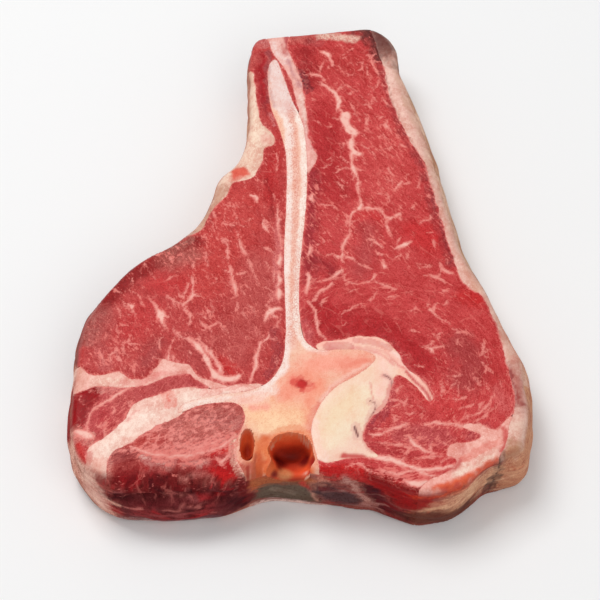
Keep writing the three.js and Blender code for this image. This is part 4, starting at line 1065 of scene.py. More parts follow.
# Each piece: its look, how wavy its strokes are, its rise and rounding from the seams, its waves
# as size, height and seed, its colours above and on the walls, and its strokes. The wall colours
# are darker than the cut faces partly from drying and partly as painted shade.
pieceSettings = {
    "bone": {
        "look": "bone", "wavy": 0.5, "rise": 0.1, "roundness": 0.8,
        "waves": [(14, 0.22, 31), (3, 0.05, 32)],
        "colour": (246, 196, 170), "side": (190, 112, 84), "pits": [canal, nerveHole],
        "paint": [
            ((245, 198, 180), 1, 3.6, 3.4, [(-3.4, 62), (-2.2, 46), (-1.6, 30), (-2, 0), (-2.8, -30),
                (-2.8, -46)]),
            ((250, 230, 220), 1, 1.4, 3, [(-9.8, 70), (-7, 62), (-4.6, 54), (-4.4, 40), (-4.5, 10),
                (-5.4, -20), (-4.8, -44), (-6.4, -56), (-13, -62.6)]),
            ((252, 236, 224), 1, 1.2, 2.8, [(-3.4, 72), (-1.2, 62), (0.6, 52), (1.6, 38), (1.5, 18),
                (0, -4), (-1, -24), (-0.6, -40), (3, -46.4), (9, -48.6)]),
            ((240, 214, 207), 1, 3, 9, [(-10, 86), (-7.4, 72), (-5.4, 66)]),
            ((206, 160, 158), 0.7, 1.4, 1, [(-12.6, 84), (-12.4, 74), (-9.6, 64)]),
            ((230, 180, 172), 0.7, 2, 2, [(-4.6, 66), (-3.4, 60)]),
            ((250, 168, 146), 1, 6, 9, [(4, -54), (14, -53.4), (22, -53)]),
            ((240, 140, 118), 0.8, 3, 4, [(17, -54.4), (25, -51.6)]),
            ((247, 160, 134), 1, 6, 9, [(2, -58), (-3, -64), (-5, -68)]),
            ((248, 158, 130), 0.9, 5, 7, [(7, -62), (3, -70), (2, -77)]),
            ((252, 204, 164), 1, 7, 12, [(-14, -74), (-8, -78), (-3, -76)]),
            ((253, 216, 176), 0.9, 5, 6, [(-13, -80), (-6, -80.6)]),
            ((250, 226, 214), 1, 3, 4, [(-42, -71.6), (-32, -68.8), (-20, -66.8), (-11, -63.6)]),
            ((250, 200, 184), 0.8, 3, 4, [(-22, -69), (-14, -68)]),
            ((248, 160, 142), 0.8, 2.5, 2.6, [(-17, -71.6), (-12, -71.4)]),
            ((236, 134, 122), 0.9, 1, 0.8, [(27, -54), (22, -57.4), (15, -61.4), (10, -66), (6.6, -71),
                (4.4, -76), (3.6, -80)]),
            ((250, 196, 178), 0.9, 1.2, 1.4, [(25, -53.8), (17, -58.4), (11.6, -63), (7.6, -68.6)]),
            ((236, 104, 90), 0.9, 3, 3, [(-1.2, -60.6), (2.8, -62.6)]),
            ((158, 0, 0), 1, 0.9, 3.2, [(0.2, -62.2), (1, -61.4)]),
            ((214, 50, 48), 0.9, 1, 0.7, [(-2.2, -61), (0.6, -62), (3.2, -61.2)]),
            ((214, 50, 48), 0.9, 1, 0.7, [(0.2, -59), (0.6, -64.4)]),
            ((230, 150, 108), 1, 3, 6, [(-15.4, -85), (-15, -92), (-16, -99)]),
            ((214, 104, 58), 1, 2.4, 4.4, [(-12.4, -84.6), (-13.6, -88.6), (-12.6, -92)]),
            ((200, 88, 46), 1, 2, 4.6, [(-13.6, -93), (-14.4, -96), (-12.6, -99)]),
            ((240, 166, 120), 0.7, 1.4, 1, [(-13, -89.4), (-12.6, -91.6)]),
            ((150, 40, 22), 0.8, 1.4, 1, [(-15.6, -90), (-16, -95)]),
            ((232, 130, 84), 0.9, 3, 3, [(-13, -86), (-9, -83.4), (-4, -81.4), (1, -82), (4.6, -85)]),
            ((240, 176, 150), 1, 2, 3, [(6, -88), (7, -97)]),
            ((220, 110, 92), 1, 2, 2.6, [(-21, -80.6), (-22.4, -86), (-22, -92), (-19, -95)]),
            ((248, 204, 188), 0.9, 1, 1, [(-21, -79), (-22.6, -84), (-22.6, -90)]),
            ((160, 50, 36), 0.9, 2, 3, [(-18.4, -94.6), (-18.4, -99)]),
        ],
    },
    "tip_fat": {
        "look": "fat", "rise": 0.15, "roundness": 1.0, "waves": [(7, 0.2, 33)],
        "colour": (238, 178, 166), "side": (170, 96, 86),
        "paint": [
            ((240, 204, 196), 1, 2, 3.4, [(-10, 96), (-9, 91), (-6, 88)]),
            ((186, 60, 66), 0.9, 1.6, 3, [(-4.4, 100), (-4, 94), (-1.6, 90)]),
            ((196, 130, 134), 0.8, 1.6, 1.4, [(-5, 87), (-2.4, 80), (-0.4, 74)]),
            ((170, 50, 58), 0.8, 1, 0.8, [(-0.6, 86), (1.6, 78), (3, 70)]),
            ((196, 86, 92), 0.7, 1.2, 0.9, [(2.8, 66), (4, 56), (5, 44)]),
            ((196, 90, 96), 0.6, 1.2, 1, [(-7, 96), (-5.4, 90)]),
            ((226, 130, 134), 0.7, 2, 2, [(1.8, 56), (3, 44)]),
            ((240, 206, 194), 0.8, 1.5, 1.4, [(0, 70), (1.8, 60), (2, 50)]),
        ],
    },
    "fat_cap": {
        "look": "fat", "rise": 0.25, "roundness": 1.6, "waves": [(9, 0.3, 34), (3, 0.08, 35)],
        "colour": (232, 186, 170), "side": (206, 152, 126),
        "paint": [
            ((160, 70, 66), 0.7, 0.8, 0.5, [(33.2, 84), (36, 68), (42.6, 48), (47.2, 39), (52.4, 14),
                (57.6, -9)]),
            ((244, 200, 186), 1, 1, 1.8, [(35.4, 84), (38.4, 68), (44.8, 48), (49.6, 36), (54.4, 12),
                (59.6, -10)]),
            ((222, 172, 148), 1, 2, 2.6, [(38.6, 84), (43, 66), (49.6, 44), (55, 20), (60, 0),
                (66, -20)]),
            # Painted shade on the dark facet at the far right corner, in these three strokes
            ((120, 72, 64), 1, 7, 9, [(31, 105), (35, 95)]),
            ((100, 48, 44), 0.7, 7, 5, [(29.6, 106), (31, 97), (32, 92)]),
            ((146, 104, 92), 0.8, 5, 3, [(36, 93), (36.6, 86)]),
            ((160, 66, 60), 1, 4, 5, [(75.8, -55), (77.4, -62), (78, -70)]),
            ((212, 160, 138), 0.9, 3, 2.6, [(72, -34), (77, -46), (78.6, -54)]),
            ((226, 160, 146), 0.8, 2, 2, [(78, -50), (80, -66)]),
            # Painted light on the top of the rounded lump at the near corner, painted shade on its lower
            # part
            ((230, 190, 172), 1, 3, 8, [(79, -80), (80, -84)]),
            ((186, 132, 102), 1, 4, 10, [(76, -90), (80, -94)]),
            ((120, 80, 68), 1, 2, 2.4, [(71, -90), (70, -97)]),
        ],
    },
    "corner_fat": {
        "look": "fat", "rise": 0.2, "roundness": 1.2, "waves": [(8, 0.3, 36), (3, 0.08, 37)],
        "colour": (244, 178, 164), "side": (196, 140, 108),
        "paint": [
            ((246, 214, 196), 1, 4, 4, [(56, -97.4), (63, -94), (68, -90.6)]),
            ((236, 120, 104), 0.9, 1, 0.8, [(58, -92), (63.6, -88.4), (70.4, -85)]),
            ((228, 96, 60), 1, 2.4, 2.4, [(47, -103), (56, -100.6), (64, -96.6), (70, -92)]),
            ((206, 60, 40), 0.8, 1.5, 1.4, [(50, -103.4), (58, -101.6)]),
            ((200, 60, 60), 0.8, 1.5, 1.6, [(70, -77.4), (72.4, -76.2)]),
            ((210, 84, 78), 0.9, 1.5, 1.6, [(72.6, -80), (73, -84), (71.6, -89)]),
            ((206, 80, 76), 0.8, 1.5, 1.4, [(56.6, -92.6), (54.4, -95.8), (48.4, -97.2)]),
            ((216, 120, 112), 0.7, 1, 1, [(57, -86.4), (57.8, -88)]),
            ((250, 196, 182), 0.8, 2.5, 3, [(60, -83), (67, -83.6)]),
        ],
    },
    "fat_pad": {
        "look": "pad_fat", "wavy": 0.35, "rise": 0.35, "roundness": 2.0,
        "waves": [(12, 0.25, 38), (4, 0.05, 39)],
        "colour": (246, 212, 188), "side": (206, 140, 118),
        "paint": [
            ((250, 206, 190), 1, 4, 5, [(28, -48), (31, -58), (29, -66)]),
            ((251, 192, 176), 1, 3, 5, [(8, -44.6), (18, -43.6), (28, -44), (36, -52), (42, -60),
                (47, -67)]),
            ((243, 214, 180), 1, 5, 9, [(20, -68), (14, -74), (12, -80)]),
            ((245, 222, 194), 0.9, 4, 5, [(23, -66), (22, -74), (14, -82), (11, -88)]),
            ((244, 200, 182), 0.9, 4, 4, [(20, -86), (24, -89), (12, -91)]),
            ((250, 214, 202), 0.9, 2, 2, [(5, -78), (5.6, -86), (8, -91)]),
            ((206, 86, 92), 1, 1, 1.6, [(10, -46.2), (14, -46), (18, -46.4)]),
            ((226, 120, 116), 0.7, 1.4, 0.8, [(20, -46.4), (28, -48.6), (34, -54)]),
            ((228, 150, 140), 0.7, 1.2, 0.7, [(24, -46), (31, -48.6), (36, -54.6)]),
            ((250, 214, 202), 0.8, 1.2, 1.4, [(30, -44.8), (36, -50), (40, -57)]),
            ((226, 130, 120), 0.8, 0.8, 0.5, [(25.2, -61.4), (25.8, -66), (26.6, -69)]),
            ((230, 172, 160), 0.9, 1, 1.4, [(25, -69.2), (27.2, -70.4), (26, -74), (24.6, -77)]),
            ((232, 170, 158), 0.9, 1.2, 1.8, [(30, -58.4), (32.6, -59.4), (33.4, -61.6), (32.4, -66)]),
            ((228, 172, 160), 0.9, 1, 1.6, [(19.6, -79.2), (20.4, -82.8)]),
            ((130, 0, 30), 0.9, 0.5, 0.4, [(25, -69.2), (27.2, -70.4), (26, -74), (24.6, -77)]),
            ((90, 4, 30), 1, 0.6, 0.5, [(30.4, -58.4), (32.6, -59.4), (33.4, -61.6), (32.4, -66)]),
            ((96, 6, 34), 1, 0.6, 0.6, [(19.6, -79.4), (20, -81.4), (20.4, -82.8)]),
            ((214, 120, 112), 0.9, 1, 0.8, [(33.4, -63), (31.6, -69), (26.6, -75.6), (23.8, -80),
                (23.4, -85), (26, -88.6)]),
            ((198, 62, 64), 0.95, 0.9, 1, [(38.4, -57), (42.6, -61.8), (45.4, -65.4), (47.4, -69.8)]),
            ((196, 56, 58), 0.95, 0.9, 1.6, [(42.4, -56.6), (46.2, -62), (49, -68)]),
            ((198, 60, 60), 0.95, 0.8, 1.2, [(41, -63.4), (43.6, -67), (46.4, -71.6)]),
            ((224, 120, 114), 0.8, 0.8, 0.5, [(33, -51.6), (38, -55.6), (41, -59.6)]),
            ((206, 96, 92), 0.7, 1, 0.5, [(20, -43.4), (27, -44.4), (33, -46.6)]),
            ((200, 60, 58), 0.9, 1.2, 1.8, [(15.6, -90.6), (19.6, -91), (24, -91.8)]),
            ((196, 40, 42), 1, 1.4, 3.4, [(8, -95), (14, -94.6), (20, -95.4)]),
            ((238, 170, 160), 0.8, 1.5, 1, [(33, -60), (31.4, -68), (26, -76)]),
        ],
    },
    "seam_fat": {
        "look": "fat", "rise": 0.2, "roundness": 1.2, "waves": [(8, 0.25, 40), (3, 0.06, 41)],
        "colour": (247, 204, 188), "side": (190, 124, 106),
        "paint": [
            ((249, 218, 202), 1, 3, 5, [(-36, -67), (-48, -72), (-60, -79), (-70, -89)]),
            ((242, 140, 126), 0.9, 2, 3, [(-47.4, -66.6), (-46.6, -69.6)]),
            ((250, 190, 178), 0.9, 2, 2, [(-14, -63.4), (-24, -63.8), (-34, -65)]),
            ((222, 92, 84), 0.8, 1, 1, [(-20, -61.8), (-28, -62.2)]),
            ((246, 224, 208), 0.8, 1.6, 1.6, [(-16, -65.6), (-28, -66.4)]),
            ((206, 84, 72), 0.8, 2, 2, [(-74.6, -91), (-77, -97)]),
            ((236, 170, 152), 0.9, 3, 3, [(-70.6, -94), (-70, -100)]),
            ((226, 120, 112), 0.6, 1.4, 1, [(-58, -72.4), (-62, -77)]),
        ],
    },
    "flank_seam": {
        "look": "fat", "rise": 0.2, "roundness": 1.2, "waves": [(8, 0.25, 42), (3, 0.06, 43)],
        "colour": (243, 182, 168), "side": (196, 128, 108),
        "paint": [
            ((246, 208, 190), 1, 2, 3.4, [(-60, -61), (-68, -60), (-74, -60.6)]),
            ((226, 160, 142), 1, 3, 4, [(-80, -56), (-81, -62)]),
            ((226, 120, 112), 0.8, 2, 2, [(-53, -58), (-58, -61), (-63, -61)]),
            ((238, 150, 140), 0.7, 1.6, 1.4, [(-42, -57), (-52, -57.6)]),
            ((246, 190, 176), 0.8, 2, 3, [(-49, -54), (-46, -55)]),
        ],
    },
    "edge_fat": {
        "look": "fat", "rise": 0.2, "roundness": 1.2, "waves": [(9, 0.3, 44), (3, 0.06, 45)],
        "colour": (240, 206, 184), "side": (204, 150, 124),
        "paint": [
            ((232, 178, 154), 0.9, 1.6, 1.6, [(-20, 84), (-19.8, 66), (-20, 52), (-23.6, 39)]),
            ((247, 218, 194), 0.9, 2, 3, [(-17.6, 62), (-17.6, 48), (-19.6, 38)]),
            ((226, 96, 76), 1, 1.6, 4.6, [(-25, 31.4), (-22, 32.4)]),
            ((236, 150, 132), 0.8, 1.4, 1.2, [(-27, 28.8), (-21, 30.2)]),
            ((232, 168, 152), 0.9, 2, 3, [(-13, 49), (-12, 46.6)]),
            ((206, 158, 134), 1, 2, 5, [(-30, 24), (-33, 17), (-38, 8)]),
            ((196, 150, 134), 1, 2, 4, [(-41, 3), (-46, 0)]),
        ],
    },
    "strip_loin": {
        "look": "lean", "rise": 0.3, "roundness": 1.0,
        "waves": [(22, 0.35, 46), (4, 0.1, 47), (1.6, 0.04, 48)],
        "slope": -52, "stretch": (0.45, 1.3), "turning": (32, -62, -14),
        "veinRise": 0.12, "colour": (198, 62, 62), "side": (120, 56, 52),
        "paint": [
            ((184, 50, 48), 0.6, 5, 12, [(12, 88), (25, 85)]),
            ((178, 34, 38), 0.85, 7, 13, [(10, 58), (10, 44), (11, 31), (14, 24)]),
            ((160, 38, 46), 0.9, 3, 5, [(5, 31), (4.4, 14), (3.6, -4), (3.4, -16)]),
            ((150, 28, 36), 0.8, 3, 5, [(4, -7), (9, -10), (12, -14)]),
            ((176, 26, 32), 0.85, 6, 12, [(8, -30), (16, -36), (30, -39), (40, -48), (44, -54)]),
            ((172, 22, 28), 0.7, 4, 7, [(8, -38), (16, -41)]),
            ((204, 54, 54), 0.9, 3, 4, [(22, 12), (26, 12.4), (30, 10)]),
            ((200, 40, 42), 0.7, 5, 12, [(44, 4), (50, 0)]),
            ((176, 66, 66), 0.6, 4, 7, [(26, 5), (25, -6), (22, -13)]),
            ((206, 74, 72), 0.7, 6, 16, [(34, 50), (34, 26)]),
            ((166, 56, 56), 0.8, 5, 12, [(58, -46), (63, -54), (60, -60)]),
            ((206, 60, 60), 0.8, 5, 10, [(48, -66), (54, -72)]),
            ((186, 50, 50), 0.6, 3, 6, [(69, -50), (72, -62)]),
            ((196, 34, 34), 0.8, 3, 6, [(61, -24), (66, -26)]),
            ((140, 52, 54), 0.8, 3, 3, [(33, 86), (36, 68), (42, 50), (47, 38), (52, 14), (57, -9)]),
            ((150, 20, 24), 0.8, 4, 6, [(1.6, 92), (4, 76)]),
            ((84, 26, 36), 1, 2, 2.6, [(-0.6, 81), (1.4, 76), (2.8, 72.6)]),
            # Painted shade on the dark facet at the far right corner, in these two strokes
            ((104, 52, 48), 1, 6, 9, [(26, 104), (33, 100), (35, 93)]),
            ((96, 40, 38), 0.9, 5, 5, [(29, 99), (32, 90)]),
            ((226, 172, 156), 1, 1.4, 3.4, [(8, 99.8), (16, 99.4), (23, 98.4)]),
            ((190, 96, 88), 0.8, 2, 3, [(-3, 98), (4, 99)]),
            ((150, 60, 62), 0.7, 2, 2, [(4, 97), (8, 96.4)]),
            ((186, 72, 74), 0.8, 3, 9, [(36, -82), (50, -83)]),
            ((170, 40, 44), 0.7, 3, 3, [(24, -80), (24, -86), (30, -89), (40, -90.6)]),
            ((196, 24, 24), 0.95, 2.4, 3.4, [(8, -96), (20, -96), (30, -100), (40, -104)]),
            ((140, 0, 2), 1, 3, 6, [(26, -99), (34, -102.6), (42, -105)]),
            ((206, 74, 70), 0.8, 2, 2.6, [(38, -93.6), (48, -93.4)]),
            ((150, 46, 58), 0.8, 2, 3, [(32, -60), (31, -70), (26, -78)]),
            ((176, 76, 80), 0.7, 2, 3, [(66, -80), (60, -82)]),
            ((220, 110, 106), 0.6, 3, 4, [(72, -66), (74, -72)]),
            ((196, 90, 90), 0.8, 2, 2, [(2, -36), (4, -44)]),
        ],
    },
    "under_lean": {
        "look": "lean", "rise": 0.1, "roundness": 1.0, "waves": [(10, 0.4, 49), (3, 0.15, 50)],
        "slope": 32, "stretch": (0.5, 1.4),
        "veinRise": 0.12, "colour": (180, 76, 70), "side": (110, 40, 42),
        "paint": [
            ((186, 92, 84), 0.8, 5, 12, [(-46, -80), (-26, -76)]),
            ((166, 84, 80), 0.6, 3, 4, [(-34, -76), (-24, -77.4)]),
            ((184, 58, 52), 0.9, 4, 7, [(-58, -85), (-50, -84)]),
            ((218, 130, 122), 0.6, 3, 3, [(-56, -89.6), (-40, -88.6), (-28, -85.4)]),
            ((140, 10, 16), 1, 3, 5, [(-64, -97), (-57, -95.6)]),
            ((220, 140, 128), 0.8, 2.4, 2.6, [(-65.6, -88), (-67.4, -92), (-68, -99)]),
            ((128, 20, 24), 0.8, 3, 3, [(-66, -91), (-58, -90)]),
            ((232, 176, 166), 0.9, 1.4, 1.6, [(-56, -91.4), (-50, -92.8), (-45, -92)]),
            ((232, 170, 160), 0.9, 1.4, 1.4, [(-42, -93.4), (-36, -92), (-31, -93)]),
            ((110, 10, 16), 0.9, 1.4, 1.6, [(-53, -94.4), (-47, -94.6)]),
            ((206, 20, 20), 0.9, 1.6, 2, [(-32, -90.4), (-26, -88.4)]),
            ((176, 44, 44), 0.9, 3, 4, [(-54, -94.6), (-40, -94), (-28, -92.6)]),
            ((176, 14, 18), 1, 2.5, 5, [(-36, -96), (-26, -94), (-21, -94.6)]),
            ((120, 28, 30), 0.8, 2, 3, [(-58, -97.4), (-44, -97.4), (-32, -98)]),
            ((204, 66, 52), 1, 1, 0.9, [(-24.4, -89), (-23, -84.4), (-20, -79.8)]),
            ((238, 184, 164), 1, 2, 3.4, [(-22.6, -85), (-22.4, -91), (-19, -96.4)]),
            ((150, 20, 22), 0.6, 2, 3, [(-52, -96), (-36, -96)]),
            ((220, 130, 120), 0.6, 2, 1.6, [(-26, -80.4), (-21.4, -77.6)]),
        ],
    },
    "chain_lean": {
        "look": "lean", "rise": 0.1, "roundness": 1.0, "waves": [(10, 0.4, 51), (3, 0.15, 52)],
        "slope": 50, "stretch": (0.6, 1.2),
        "veinRise": 0.12, "colour": (190, 70, 70), "side": (176, 112, 96),
        "paint": [
            ((150, 0, 8), 1, 2.5, 9, [(-76, -65), (-80, -70), (-81, -77)]),
            ((150, 10, 16), 0.8, 2, 3, [(-74.6, -66.6), (-79, -71.6)]),
            ((186, 52, 56), 0.8, 3, 5, [(-70, -73), (-71, -79)]),
            ((186, 68, 66), 0.8, 3, 4, [(-66, -68), (-58, -66), (-46, -62)]),
            ((226, 150, 138), 0.8, 2, 2, [(-66, -64.6), (-72, -62.8)]),
            ((200, 54, 50), 0.9, 2, 5, [(-79, -86), (-77, -93)]),
            ((222, 150, 136), 0.9, 2, 4, [(-80, -81), (-76, -83.6)]),
        ],
    },
    "tenderloin": {
        "look": "lean", "rise": 0.3, "roundness": 1.0,
        "waves": [(18, 0.4, 53), (4, 0.1, 54), (1.6, 0.04, 55)],
        "slope": -62, "stretch": (0.65, 1.1),
        "veinRise": 0.12, "colour": (189, 60, 58), "side": (140, 76, 66),
        "paint": [
            ((198, 60, 56), 0.8, 8, 20, [(-24, 16), (-30, -2), (-38, -18)]),
            ((186, 74, 70), 0.7, 8, 18, [(-14, -14), (-18, -34), (-26, -46)]),
            ((198, 54, 54), 0.8, 5, 12, [(-56, -32), (-62, -38)]),
            ((200, 50, 50), 0.8, 4, 8, [(-52, -19), (-44, -20)]),
            ((146, 20, 20), 1, 3.4, 7, [(-40, -1), (-52, -8), (-64, -16), (-73, -28)]),
            ((166, 96, 86), 0.9, 2, 3, [(-42, 1), (-50, -4)]),
            ((176, 76, 70), 0.7, 4, 6, [(-38, -6), (-46, -10)]),
            ((160, 90, 82), 0.8, 4, 6, [(-76, -32), (-79, -42)]),
            ((176, 84, 78), 0.6, 4, 8, [(-72, -32), (-75, -42)]),
            ((150, 30, 32), 0.6, 2, 3, [(-37, 8), (-34, 13)]),
            ((176, 84, 76), 0.7, 3, 7, [(-50, -9), (-42, -6)]),
            ((168, 22, 30), 1, 2, 4, [(-15.4, 90), (-15.6, 78), (-15, 66)]),
            ((164, 70, 72), 0.9, 1.5, 2.2, [(-12.6, 92), (-12.8, 78), (-12, 66)]),
            ((150, 28, 36), 0.8, 1.4, 2, [(-13.6, 66), (-13, 60)]),
            ((214, 130, 128), 0.8, 1.4, 1.6, [(-11.4, 60), (-10, 55)]),
            ((186, 40, 40), 0.8, 2, 4, [(-12, 52), (-8.4, 46)]),
            ((170, 30, 36), 0.9, 2, 1.6, [(-4.4, 80), (-2.6, 72), (-0.8, 65)]),
            ((206, 120, 116), 0.8, 2, 3, [(-16, 96), (-8, 98)]),
            ((196, 84, 78), 0.8, 2, 3, [(-19, 92), (-18, 86)]),
            ((186, 34, 36), 0.8, 3, 5, [(-10, 42), (-12, 30), (-11, 20)]),
            ((150, 20, 24), 0.7, 1.2, 1.2, [(-13, 28), (-11, 22), (-10.4, 12)]),
            ((206, 100, 98), 0.8, 2.4, 3, [(-8, 8), (-8.4, -6), (-8.6, -26)]),
            ((200, 44, 42), 0.8, 3, 5, [(-31, -52), (-26, -56)]),
            ((190, 34, 34), 0.8, 3, 4, [(-29, -54), (-24, -57.4)]),
            ((150, 50, 56), 0.8, 2, 2.4, [(-9, -40), (-7.6, -50), (-11, -59)]),
            ((170, 60, 58), 0.5, 5, 9, [(-40, -46), (-36, -53)]),
            ((160, 60, 60), 0.6, 4, 6, [(-52, -46), (-56, -54)]),
            ((206, 110, 106), 0.5, 3, 4, [(-73, -48), (-71, -54)]),
        ],
    },
}


# A node of a material: its inputs are values or other nodes' outputs, in order or by number
def addNode(tree, kind, inputs=(), out=0, **options):
    node = tree.nodes.new("ShaderNode" + kind)
    for key, value in options.items():
        setattr(node, key, value)
    for index, value in dict(inputs).items() if isinstance(inputs, dict) else enumerate(inputs):
        if isinstance(value, bpy.types.NodeSocket):
            tree.links.new(value, node.inputs[index])
        elif value is not None:
            node.inputs[index].default_value = value
    return node.outputs[out]


# Noises that the tissues share: scale per millimetre, detail and roughness
tissueNoise = {
    "broad": (0.16, 3.0, 0.55), "streak": (0.55, 5.0, 0.62), "fine": (1.1, 3.0, 0.7),
    "pepper": (2.3, 2.0, 0.6), "shade": (0.9, 4.0, 0.7), "bend": (0.3, 1.0, 0.55),
    "bundled": (0.22, 2.0, 0.55), "ragged": (1.3, 4.0, 0.75), "swollen": (0.36, 2.0, 0.6),
    "blush": (0.7, 3.0, 0.55), "bleed": (1.2, 4.0, 0.75),
}

# Colours and tints that they share, among them the tint of the painted shade in the walls' folds
tissueTones = {
    "wallDark": (216, 176, 172), "wallBright": (1.16, 1.3, 1.28), "foldShadeTint": (176, 120, 120),
    "veinEdge": (232, 136, 126), "veinCore": (247, 192, 178), "veinBlush": (226, 124, 116),
    "bleed": (206, 92, 86),
}
wallFinish = 0.85      # roughness of the drier walls


# Meat, fat or bone: the piece's own tint, varied by noise along the grain, with fine flecks and
# with veins where the piece has them, and on the walls darkened in patches as painted shade of folds
def tissue(name, settings):
    material = bpy.data.materials.new(name)
    material.use_nodes = True
    tree = material.node_tree
    shader = tree.nodes["Principled BSDF"]

    def attribute(key, out):
        return addNode(tree, "Attribute", out=out, attribute_name=key)

    def tone(key):
        return (*light(tissueTones[key]), 1)

    def math(how, *values):
        return addNode(tree, "Math", values, operation=how)

    def mix(amount, first, second, how="MIX"):
        inputs = {0: amount, 6: first, 7: second}
        return addNode(tree, "Mix", inputs, out=2, data_type="RGBA", blend_type=how)

    def noise(where, scale, detail, roughness):
        return addNode(tree, "TexNoise", (where, None, scale, detail, roughness))

    def step(value, low, high, top=1.0):
        inputs = (value, low, high, 0.0, top)
        return addNode(tree, "MapRange", inputs, interpolation_type="SMOOTHSTEP")

    tint = attribute("tint", 1)
    fibre, arc = attribute("grain", 1), attribute("arc", 1)
    vein, fleck, seam = (attribute(key, 2) for key in ("vein", "fleck", "seam"))
    turned, wall = attribute("turned", 2), attribute("wall", 2)
    place = addNode(tree, "TexCoord", out=3)
    even = addNode(tree, "VectorMath", {0: place, 1: (1000, 1000, 1000)}, operation="MULTIPLY")

    # Noise along the fibres, from the straight and the turning part
    def fibrous(scale, detail, roughness):
        straight = noise(fibre, scale, detail, roughness)
        turning = noise(arc, scale, detail, roughness)
        return addNode(tree, "Mix", {0: turned, 2: straight, 3: turning}, data_type="FLOAT")

    broad = noise(even, *tissueNoise["broad"])
    streak = fibrous(*tissueNoise["streak"])
    fine = noise(even, *tissueNoise["fine"])
    pepper = noise(even, *tissueNoise["pepper"])
    shade = noise(fibre, *tissueNoise["shade"])
    darkTone = mix(wall, (*light(settings["dark"]), 1), tone("wallDark"))
    brightTone = mix(wall, (*settings["bright"], 1), (*tissueTones["wallBright"], 1))
    dark = mix(1.0, tint, darkTone, "MULTIPLY")
    bright = mix(1.0, tint, brightTone, "MULTIPLY")
    colour = mix(step(broad, 0.35, 0.7, settings["broad"]), tint, dark)
    colour = mix(step(streak, 0.5, 0.68, settings["streak"]), colour, dark)
    colour = mix(step(streak, 0.5, 0.34, settings["streak"]), colour, bright)
    colour = mix(step(fine, 0.5, 0.72, settings["lift"]), colour, bright)
    colour = mix(step(pepper, 0.52, 0.66, settings["pepper"]), colour, bright)
    colour = mix(step(pepper, 0.48, 0.34, settings["pepper"]), colour, dark)
    # Painted shade: the walls darkened in patches by noise, as if shaded in their folds
    foldShadeShare = math("MULTIPLY", step(shade, 0.48, 0.32, settings["foldShadeStrength"]), wall)
    colour = mix(foldShadeShare, colour, mix(1.0, colour, tone("foldShadeTint"), "MULTIPLY"))
    if settings["flecks"]:
        speck = (*light(settings["speck"]), 1)
        halo = math("ADD", step(vein, -2.2, 0.2, 0.35), fleck)
        spread = math("MULTIPLY_ADD", halo, -0.22, settings["speckFrom"])
        above = math("SUBTRACT", fibrous(settings["speckSize"], 3.0, 0.65), spread)
        shown = step(above, -0.04, 0.1, settings["flecks"])
        colour = mix(math("MULTIPLY", shown, step(fleck, 0.02, 0.2)), colour, speck)
    if settings["bundles"]:
        bend = noise(even, *tissueNoise["bend"])
        bent = addNode(tree, "VectorMath", (bend, (3, 3, 3)), operation="MULTIPLY")
        bent = addNode(tree, "VectorMath", (fibre, bent), operation="ADD")
        size = {0: bent, 2: settings["bundleSize"]}
        cells = addNode(tree, "TexVoronoi", size, feature="DISTANCE_TO_EDGE")
        patches = step(noise(even, *tissueNoise["bundled"]), 0.42, 0.62)
        shown = math("MULTIPLY", step(cells, 0.07, 0.0, settings["bundles"]), patches)
        colour = mix(math("MULTIPLY", shown, step(fleck, 0.02, 0.3)), colour, speck)
    if settings["veins"]:
        ragged = math("MULTIPLY_ADD", noise(even, *tissueNoise["ragged"]), 2.1, -1.05)
        swollen = math("MULTIPLY_ADD", noise(even, *tissueNoise["swollen"]), 1.6, -0.78)
        edge = math("ADD", math("ADD", vein, ragged), swollen)
        fat = mix(step(vein, 0.1, 1.1), tone("veinEdge"), tone("veinCore"))
        blush = step(noise(even, *tissueNoise["blush"]), 0.5, 0.75, 0.7)
        fat = mix(blush, fat, tone("veinBlush"))
        colour = mix(step(edge, -0.4, 0.5, 0.95), colour, fat)
    else:
        ragged = math("MULTIPLY_ADD", noise(even, *tissueNoise["bleed"]), 2.4, -1.25)
        edge = math("ADD", seam, ragged)
        colour = mix(step(edge, 0.35, -0.5, settings["bleed"]), colour, tone("bleed"))
    tree.links.new(colour, shader.inputs["Base Color"])
    bump = addNode(tree, "Bump", (settings["bump"], 0.0002, None, math("ADD", streak, fine)))
    tree.links.new(bump, shader.inputs["Normal"])
    roughness = settings["roughness"]
    rougher = math("MULTIPLY_ADD", wall, wallFinish - roughness, roughness)
    tree.links.new(rougher, shader.inputs["Roughness"])
    shader.inputs["Specular IOR Level"].default_value = settings["specular"]
    return material


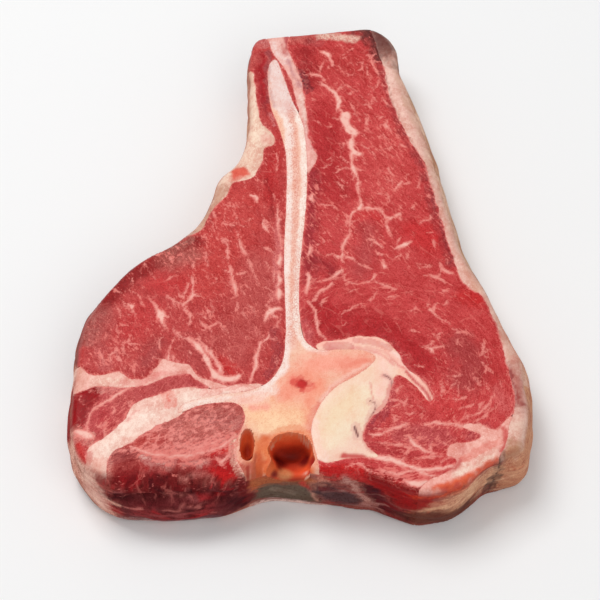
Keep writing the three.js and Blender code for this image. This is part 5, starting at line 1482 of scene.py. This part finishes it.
# Strength of each pattern from 0 to 1, among them the painted shade of the walls' folds, and the
# finish
looks = {
    "lean": {
        "dark": (212, 132, 136), "bright": (1.13, 1.5, 1.46), "broad": 0.4, "streak": 0.75,
        "lift": 0.55, "pepper": 0.85, "foldShadeStrength": 0.8, "veins": True,
        "flecks": 0.75, "speckSize": 0.9, "speckFrom": 0.74, "speck": (232, 124, 114),
        "bundles": 0.3, "bundleSize": 0.2, "bump": 0.7, "roughness": 0.42, "specular": 0.15,
    },
    "fat": {
        "dark": (232, 192, 186), "bright": (1.06, 1.16, 1.18), "broad": 0.8, "streak": 0.6,
        "lift": 0.8, "pepper": 0.35, "foldShadeStrength": 0.4, "veins": False, "bleed": 0.85, "flecks": 0,
        "bundles": 0, "bump": 0.5, "roughness": 0.42, "specular": 0.25,
    },
    "pad_fat": {
        "dark": (250, 226, 214), "bright": (1.03, 1.08, 1.1), "broad": 0.5, "streak": 0.4,
        "lift": 0.5, "pepper": 0.35, "foldShadeStrength": 0.6, "veins": False, "bleed": 0.6, "flecks": 0,
        "bundles": 0, "bump": 0.25, "roughness": 0.4, "specular": 0.25,
    },
    "bone": {
        "dark": (244, 206, 196), "bright": (1.03, 1.08, 1.1), "broad": 0.5, "streak": 0.4,
        "lift": 0.6, "pepper": 0.45, "foldShadeStrength": 0.5, "veins": False, "bleed": 0.3,
        "flecks": 0.55, "speckSize": 2.0, "speckFrom": 0.74, "speck": (206, 96, 76),
        "bundles": 0, "bump": 0.3, "roughness": 0.6, "specular": 0.2,
    },
}
materials = {name: tissue(name, settings) for name, settings in looks.items()}
print("materials made")

for name, settings in pieceSettings.items():
    piece = buildPiece(name, settings)
    piece.data.materials.append(materials[settings["look"]])
    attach(piece, "root")
    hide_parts(name)
    print("built", name, len(piece.data.polygons))

# Height of the view in degrees, lens and sensor and distance in millimetres, and where it aims
cameraView = {"lift": 58.0, "lens": 120.0, "sensor": 36.0, "away": 741.0, "aim": (0, -26, 28)}


# The photograph's view: from the near side, looking down at the steak
def setCamera():
    lift = np.radians(cameraView["lift"])
    aim = np.array(cameraView["aim"], float) - (*steakSlice["drawnMiddle"], 0)
    place = aim + cameraView["away"] * np.array([0, -np.cos(lift), np.sin(lift)])
    data = bpy.data.cameras.new("camera")
    data.lens, data.sensor_width = cameraView["lens"], cameraView["sensor"]
    data.clip_start, data.clip_end = 0.05, 20
    camera = bpy.data.objects.new("camera", data)
    bpy.context.scene.collection.objects.link(camera)
    camera.location = Vector(place / 1000)
    ahead = Vector(aim / 1000) - camera.location
    camera.rotation_euler = ahead.to_track_quat("-Z", "Y").to_euler()
    bpy.context.scene.camera = camera


setCamera()

# Floor and light; each lamp with its place in metres, its size and its power in watts
studio = {
    "floor": (0.9, 0.9, 0.9, 1), "floorHalf": 3, "floorRoughness": 0.8, "world": 0.45,
    "lamps": [("key", (-0.5, 0.5, 1.4), 0.8, 13.2), ("fill", (0.5, -0.9, 1.2), 1.2, 5)],
}


# A pale floor and soft studio light
def setStage():
    half = studio["floorHalf"]
    corners = [(-half, -half, 0), (half, -half, 0), (half, half, 0), (-half, half, 0)]
    mesh = bpy.data.meshes.new("floor")
    mesh.from_pydata(corners, [], [(0, 1, 2, 3)])
    floor = bpy.data.objects.new("floor", mesh)
    bpy.context.scene.collection.objects.link(floor)
    paint = bpy.data.materials.new("floor_paint")
    paint.use_nodes = True
    shader = paint.node_tree.nodes["Principled BSDF"]
    shader.inputs["Base Color"].default_value = studio["floor"]
    shader.inputs["Roughness"].default_value = studio["floorRoughness"]
    mesh.materials.append(paint)
    for name, place, size, power in studio["lamps"]:
        data = bpy.data.lights.new(name, "AREA")
        data.size, data.energy = size, power
        lamp = bpy.data.objects.new(name, data)
        bpy.context.scene.collection.objects.link(lamp)
        lamp.location = place
        lamp.rotation_euler = (-Vector(place)).to_track_quat("-Z", "Y").to_euler()
    world = bpy.data.worlds.new("studio")
    world.use_nodes = True
    background = world.node_tree.nodes["Background"]
    background.inputs[0].default_value = (1, 1, 1, 1)
    background.inputs[1].default_value = studio["world"]
    bpy.context.scene.world = world
    bpy.context.scene.view_settings.view_transform = "Standard"


setStage()
print("stage set")
